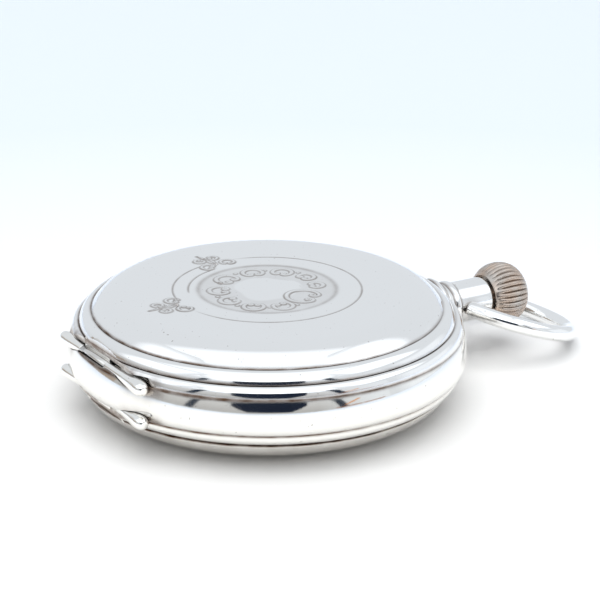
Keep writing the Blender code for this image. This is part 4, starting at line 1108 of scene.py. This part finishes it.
def gilt_look():
    """Mercury-gilt plate: fine frosting, a little uneven, dulled in patches."""
    colour = (0.86, 0.62, 0.29)
    look, tree, shader = principled("frosted_gilt", colour, 1.0, 0.33)
    patches = ramp(tree, noise(tree, 150, detail=5.0), 0.35, 0.7)
    pale = tuple(min(1.0, 1.05 * c + 0.03) for c in colour)
    deep = tuple(0.86 * c for c in colour)
    paint(tree, shader, patches, pale, deep)
    roughen(tree, shader, noise(tree, 700, detail=3.0), 0.3, 0.7, 0.27, 0.40)
    bump(tree, shader, noise(tree, 26000, detail=2.0), 0.35, 0.000012)
    return look


def distance_from(tree, centre):
    """Distance of a surface point from a wheel's axis, in metres."""
    flat = vector_node(tree, "MULTIPLY", own_place(tree), (1.0, 1.0, 0.0))["Vector"]
    axis = (centre[0] * MM, centre[1] * MM, 0.0)
    return vector_node(tree, "DISTANCE", flat, axis)["Value"]


def turned_look(name, colour, centre, roughness=0.2):
    """Metal finished on the lathe: fine circular graining round one axis."""
    look, tree, shader = principled(name, colour, 1.0, roughness)
    ring = node(tree, "ShaderNodeTexNoise", noise_dimensions="1D", Scale=11000, Detail=2.0)
    tree.links.new(distance_from(tree, centre), ring.inputs["W"])
    grain = ring.outputs["Fac"]
    roughen(tree, shader, grain, 0.3, 0.7, roughness, roughness + 0.14)
    dull = tuple(0.85 * c for c in colour)
    paint(tree, shader, ramp(tree, grain, 0.35, 0.75), colour, dull)
    bump(tree, shader, grain, 0.25, 0.000008)
    return look


def steel_look(name, stretch):
    """Hardened steel with straight graining."""
    look, tree, shader = principled(name, (0.60, 0.61, 0.63), 1.0, 0.22)
    grain = noise(tree, 1800, stretch, 3.0, 0.3)
    roughen(tree, shader, grain, 0.3, 0.7, 0.16, 0.32)
    paint(tree, shader, grain, (0.52, 0.53, 0.55), (0.68, 0.69, 0.70))
    bump(tree, shader, grain, 0.15, 0.00001)
    return look


def ruby_look():
    look, tree, shader = principled("ruby", (0.50, 0.015, 0.06), 0.0, 0.04)
    shader.inputs["Transmission Weight"].default_value = 0.55
    shader.inputs["IOR"].default_value = 1.76
    depth = ramp(tree, noise(tree, 1500, detail=2.0), 0.35, 0.7)
    paint(tree, shader, depth, (0.55, 0.02, 0.08), (0.38, 0.01, 0.04))
    return look


GILT_NODES = ["mainplate", "barrel_bridge", "train_bridge", "balance_cock", "pallet_bridge"]
GILT_NODES += ["barrel_cover"]
STEEL_NODES = ["winding_stem", "winding_pinion", "sliding_pinion", "setting_lever", "clutch_lever"]
STEEL_NODES += ["click", "lock_spring", "fly_spring", "front_hinge_pin", "back_hinge_pin", "regulator"]
STEEL_NODES += ["pallet_fork", "mainspring", "balance_staff", "barrel_arbor"]
BRASS = (0.88, 0.66, 0.30)
BRIGHT_STEEL = (0.66, 0.67, 0.69)
TURNED = {
    # node: (axis, colour)
    "mainspring_barrel": (BARREL, BRASS), "centre_wheel": (CENTRE, BRASS),
    "third_wheel": (THIRD, BRASS), "fourth_wheel": (FOURTH, BRASS),
    "minute_wheel": ((2.95, -2.06), BRASS), "hour_wheel": (CENTRE, BRASS),
    "balance_wheel": (BALANCE, BRASS), "crown_wheel": ((10.4, 0.0), BRIGHT_STEEL),
    "ratchet_wheel": (BARREL, BRIGHT_STEEL), "setting_wheel": ((7.58, -0.58), BRIGHT_STEEL),
    "escape_wheel": (ESCAPE, BRIGHT_STEEL), "roller_table": (BALANCE, BRIGHT_STEEL),
    "centre_pinion": (CENTRE, BRIGHT_STEEL), "third_pinion": (THIRD, BRIGHT_STEEL),
    "fourth_pinion": (FOURTH, BRIGHT_STEEL), "escape_pinion": (ESCAPE, BRIGHT_STEEL),
    "cannon_pinion": (CENTRE, BRIGHT_STEEL),
}
CHAMFERED = GILT_NODES[:5] + ["regulator", "click", "setting_lever", "clutch_lever"]
CHAMFERED += ["crown_wheel", "ratchet_wheel"]
CHAMFER = 0.06


def dress(name, look):
    """Give a CAD node its material."""
    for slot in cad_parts[name].material_slots:
        slot.material = look


def dress_movement():
    gilt = gilt_look()
    steel = steel_look("grained_steel", (1.0, 22.0, 1.0))
    for name in GILT_NODES:
        dress(name, gilt)
    for name in STEEL_NODES:
        dress(name, steel)
    for name, (axis, colour) in TURNED.items():
        dress(name, turned_look(f"turned_{name}", colour, axis))
    dress("hairspring", blued_look("blued_hairspring", 0.22))
    for name in CHAMFERED:
        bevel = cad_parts[name].modifiers.new("chamfer", "BEVEL")
        bevel.width = CHAMFER * MM
        bevel.segments = 2
        bevel.limit_method = "ANGLE"
        bevel.angle_limit = math.radians(40)


HALF_SLOT = 0.13
SLOT_DEPTH = 0.26
SCREWS = [
    # node, head height, shaft radius, slot bearing
    ("barrel_bridge_screw", 0.5, 0.5, 20.0), ("train_bridge_screw", 0.5, 0.5, 75.0),
    ("balance_cock_screw", 0.5, 0.5, 130.0), ("case_screw_upper", 0.7, 0.5, 40.0),
    ("case_screw_lower", 0.7, 0.5, 100.0), ("crown_wheel_screw", 0.4, 0.45, 60.0),
    ("click_screw", 0.35, 0.24, 10.0), ("setting_lever_screw", 0.35, 0.3, 150.0),
]


def make_screws():
    """Domed, slotted screws; the head is the widest part of the CAD screw, at its outer end."""
    blue = blued_look("blued_screw", 0.14)
    steel = steel_look("polished_screw", (1.0, 6.0, 1.0))
    for name, head, shaft, bearing in SCREWS:
        low, high = (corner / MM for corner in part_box(name))
        radius = (high.x - low.x) / 2
        tall = high.z - low.z
        dome = [(radius * s, 0.1 * s * s) for s in (0.0, 0.25, 0.5, 0.75, 0.88)]
        dome += [(radius, 0.16), (radius, head)]
        bm = lathe(dome + [(shaft, head), (shaft, tall), (0, tall)], 48)
        reach, half_slot = radius + 0.1, HALF_SLOT * min(1.0, radius)
        cut = box((-reach, -half_slot, -0.1), (reach, half_slot, SLOT_DEPTH))
        bm = carve(bm, [turned(cut, math.radians(bearing))])
        # The setting lever's screw is the only one driven from the dial side
        up = name == "setting_lever_screw"
        if up:
            turned(bm, math.pi, "X")
        moved(bm, ((low.x + high.x) / 2, (low.y + high.y) / 2, high.z if up else low.z))
        add(f"{name}_slotted", bm, steel if up else blue, "case", [name], sharp=35)


JEWELS = [
    # name, spot, height of the plate's face
    ("third", THIRD, 5.3), ("fourth", FOURTH, 5.3), ("escape", ESCAPE, 5.3),
    ("centre", CENTRE, 5.3), ("balance", BALANCE, 3.9),
]


def make_jewels():
    """Ruby bearings in gold settings, proud of the bridges by a hair."""
    ruby = ruby_look()
    gold = turned_look("gold_setting", (0.95, 0.70, 0.34), CENTRE, 0.12)
    stone = [(0.0, 0.02), (0.0, -0.02), (0.12, -0.07), (0.3, -0.08), (0.36, -0.04), (0.36, 0.02)]
    ring = [(0.37, 0.02), (0.37, -0.05), (0.42, -0.09), (0.57, -0.09), (0.63, -0.05), (0.63, 0.02)]
    parts = [("jewel", stone, ruby, "crystal"), ("setting", ring, gold, "gilt_brass")]
    for name, spot, face in JEWELS:
        inner = 0.52 if name == "centre" else 0.3
        for part, profile, look, slot in parts:
            bm = lathe([(inner + r, face + z) for r, z in profile], 48, closed=True)
            add(f"{part}_{name}", moved(bm, (*spot, 0.0)), look, "case", sharp=50)


BALANCE_SCREWS = 14


def make_balance_screws():
    """Small poising screws round the balance rim."""
    shapes = []
    for i in range(BALANCE_SCREWS):
        head = lathe([(0, 6.4), (0.27, 6.4), (0.27, 6.74), (0.2, 6.8), (0, 6.8)], 20)
        turned(laid(head, (0, 0, 0), "X"), TAU * (i + 0.5) / BALANCE_SCREWS)
        shapes.append(moved(head, (*BALANCE, 5.6)))
    look = turned_look("gold_screws", (0.93, 0.70, 0.36), BALANCE, 0.14)
    add("balance_screws", merged(shapes), look, "balance", sharp=40)


# Studio, in metres


SKY = (0.90, 0.945, 1.0)
SKY_STRENGTH = 0.84
MIDDLE = (0.0, 0.0, 0.007)
TOWARDS_CAMERA = Vector((-0.4836, -0.8049, 0.3438))
CAMERA_BEARING = math.atan2(TOWARDS_CAMERA.y, TOWARDS_CAMERA.x)
CAMERA_DISTANCE = 0.31602
NAVY = (0.012, 0.018, 0.035)
FRAME_NAVY = (0.02, 0.03, 0.05)
SHEET_RADIUS = 3.0
SHEET_DROP = 0.00002
# The painted pool of light on the sheet: how far its middle lies towards the camera, and where it turns
# blue
LIT_POOL_FORWARD = 0.07
LIT_POOL_REACH = 0.08
POOL_BLUE_START = 0.19


def make_floor():
    """A wide sheet with a painted pool of light: white near the watch, painted darker and cooler towards
    pale blue away from it.
    """
    bm = bmesh.new()
    bmesh.ops.create_circle(bm, cap_ends=True, segments=96, radius=SHEET_RADIUS)
    floor = linked("floor", raw_mesh(bm, "floor"))
    floor.location = (0, 0, -SHEET_DROP)
    look, tree, shader = principled("sheet_with_painted_light_pool", (0.9, 0.9, 0.9), 0.0, 0.6)
    lit_pool_middle = (LIT_POOL_FORWARD * TOWARDS_CAMERA.x, LIT_POOL_FORWARD * TOWARDS_CAMERA.y, 0.0)
    away = vector_node(tree, "DISTANCE", own_place(tree), lit_pool_middle)["Value"]
    far = ramp(tree, away, LIT_POOL_REACH, POOL_BLUE_START)
    # Painted light: whiter near the watch, bluer and darker away from it, standing in for the light's
    # falloff
    paint(tree, shader, far, (0.955, 0.945, 0.925), (0.765, 0.83, 0.93))
    floor.data.materials.append(look)


def aim(obj, target):
    obj.rotation_mode = "QUATERNION"
    obj.rotation_quaternion = (Vector(target) - obj.location).to_track_quat("-Z", "Y")


def soft_box(name, place, size, power, colour=(1.0, 1.0, 1.0)):
    """A light for the floor and the shadows; the glow cards are what the metal mirrors."""
    light = bpy.data.lights.new(name, "AREA")
    light.shape = "RECTANGLE"
    light.size, light.size_y = size
    light.energy = power
    light.color = colour
    obj = linked(name, light)
    obj.location = around(*place)
    obj.visible_camera = False
    obj.visible_glossy = False
    aim(obj, MIDDLE)


def reflected_card(name, bm, colour):
    """A glowing shape that the camera doesn't see and that casts no shadow."""
    card = linked(name, raw_mesh(bm, name))
    look = bpy.data.materials.new(name)
    look.use_nodes = True
    tree = look.node_tree
    tree.nodes.clear()
    out = tree.nodes.new("ShaderNodeOutputMaterial")
    glow = node(tree, "ShaderNodeEmission", Color=(*colour, 1.0), Strength=1.0)
    tree.links.new(glow.outputs[0], out.inputs["Surface"])
    card.data.materials.append(look)
    card.visible_camera = False
    card.visible_diffuse = False
    card.visible_shadow = False
    return card, tree, glow


def dark_card(name, place, size, colour, lean=0.0):
    bm = bmesh.new()
    bmesh.ops.create_grid(bm, x_segments=1, y_segments=1, size=0.5)
    bmesh.ops.scale(bm, verts=bm.verts, vec=(*size, 1.0))
    card = reflected_card(name, turned(bm, math.radians(lean)), colour)[0]
    card.location = around(*place)
    aim(card, MIDDLE)


def glow_card(name, place, size, core, soft=0.45):
    """A bright sheet that only reflections see; its edges melt into the sky's colour."""
    bm = bmesh.new()
    bmesh.ops.create_grid(bm, x_segments=1, y_segments=1, size=1.0)
    card, tree, glow = reflected_card(name, bm, SKY)
    card.scale = (size[0] / 2, size[1] / 2, 1.0)
    card.location = around(*place)
    aim(card, MIDDLE)
    where = own_axes(tree)
    across = ramp(tree, math_node(tree, "ABSOLUTE", where["X"]), 1.0, 1.0 - soft)
    along = ramp(tree, math_node(tree, "ABSOLUTE", where["Y"]), 1.0, 1.0 - soft)
    inside = math_node(tree, "MULTIPLY", across, along)
    tree.links.new(ramp(tree, inside, 0.0, 1.0, SKY_STRENGTH, core), glow.inputs["Strength"])


def around(azimuth, elevation, distance):
    """A place seen from the watch: azimuth is measured from the camera's bearing, in degrees."""
    bearing = CAMERA_BEARING + math.radians(azimuth)
    e = math.radians(elevation)
    flat = distance * math.cos(e)
    return (flat * math.cos(bearing), flat * math.sin(bearing), distance * math.sin(e) + MIDDLE[2])


def low_wall():
    """A wide strip that darkens to the horizon and, on the right, melts into the sky."""
    bm = bmesh.new()
    reach, top, steps = 0.9, 0.30, 48
    rows = []
    for i in range(steps + 1):
        turn = CAMERA_BEARING + math.radians(-125 + 195 * i / steps)
        x, y = reach * math.cos(turn), reach * math.sin(turn)
        rows.append([bm.verts.new((x, y, z)) for z in (0.0, top)])
    for left, right in zip(rows, rows[1:]):
        bm.faces.new((left[0], right[0], right[1], left[1]))
    tree, glow = reflected_card("low_wall", bm, (0.5, 0.5, 0.5))[1:]
    rise = ramp(tree, own_axes(tree)["Z"], 0.02, top)
    wall = mix_colour(tree, rise, (0.48, 0.48, 0.48), (0.68, 0.69, 0.70))
    rightwards = Vector((-TOWARDS_CAMERA.y, TOWARDS_CAMERA.x, 0.0)).normalized()
    across = vector_node(tree, "DOT_PRODUCT", own_place(tree), rightwards)["Value"]
    fade = ramp(tree, across, 0.42, 0.80)
    tree.links.new(mix_colour(tree, fade, wall, tuple(0.92 * c for c in SKY)), glow.inputs["Color"])


def make_studio():
    world = bpy.data.worlds.new("studio")
    world.use_nodes = True
    bpy.context.scene.world = world
    tree = world.node_tree
    back = tree.nodes["Background"]
    back.inputs["Color"].default_value = (*SKY, 1.0)
    path = node(tree, "ShaderNodeLightPath")
    dim = ramp(tree, path.outputs["Is Diffuse Ray"], 0.0, 1.0, SKY_STRENGTH, 0.57)
    tree.links.new(dim, back.inputs["Strength"])
    soft_box("overhead", (-30, 87, 1.1), (1.3, 1.3), 10.7)
    soft_box("front_high", (4, 46, 1.2), (1.2, 0.55), 1.2, (1.0, 0.99, 0.97))
    glow_card("overhead_glow", (0, 71, 1.15), (2.6, 1.75), 1.2, 0.35)
    glow_card("front_glow", (2, 45, 1.2), (1.7, 0.95), 1.7, 0.4)
    glow_card("left_glow", (-78, 38, 1.2), (1.1, 0.9), 1.35)
    glow_card("right_low", (104, 9, 1.2), (1.3, 0.6), 1.04)
    glow_card("right_glow", (82, 46, 1.2), (1.3, 0.9), 1.6)
    low_wall()
    dark_card("viewer", (1, 14, 0.86), (0.63, 0.38), NAVY)
    dark_card("left_frame", (-40, 13, 0.86), (0.07, 0.40), FRAME_NAVY, -14)
    dark_card("right_frame", (39, 13, 0.86), (0.07, 0.40), FRAME_NAVY, 14)
    dark_card("warm_lamp", (47, 7, 0.86), (0.16, 0.022), (0.7, 0.3, 0.1), 35)
    dark_card("warm_line", (52, 1.2, 0.86), (0.45, 0.016), (0.35, 0.14, 0.06))
    dark_card("brown_side", (-104, 5, 0.88), (0.75, 0.15), (0.40, 0.34, 0.29))
    dark_card("seam", (0, 58, 0.95), (0.42, 0.012), (0.45, 0.45, 0.46))


def make_camera():
    camera = bpy.data.cameras.new("camera")
    camera.sensor_width = 36.0
    camera.lens = 150.0
    camera.shift_x = 0.0546
    camera.shift_y = -0.0192
    camera.clip_start = 0.01
    camera.clip_end = 20.0
    obj = linked("camera", camera)
    target = Vector((0.0, 0.0, LID_TOP * MM))
    obj.location = target + TOWARDS_CAMERA.normalized() * CAMERA_DISTANCE
    aim(obj, target)
    bpy.context.scene.camera = obj
    bpy.context.scene.view_settings.view_transform = "Standard"


def build():
    make_camera()
    make_floor()
    make_studio()
    polished = silver("polished_silver")
    warm = silver("warm_silver", colour=(0.93, 0.918, 0.882))
    make_lid(polished)
    make_band(warm)
    make_hinge_ends(warm)
    make_moving_knuckles(warm)
    make_back_cover(warm)
    make_dust_cover(polished)
    make_pendant(polished)
    make_bow(polished)
    make_crown(crown_look())
    make_bezel_and_crystal(polished)
    make_dial()
    make_hands()
    dress_movement()
    make_screws()
    make_jewels()
    make_balance_screws()


build()
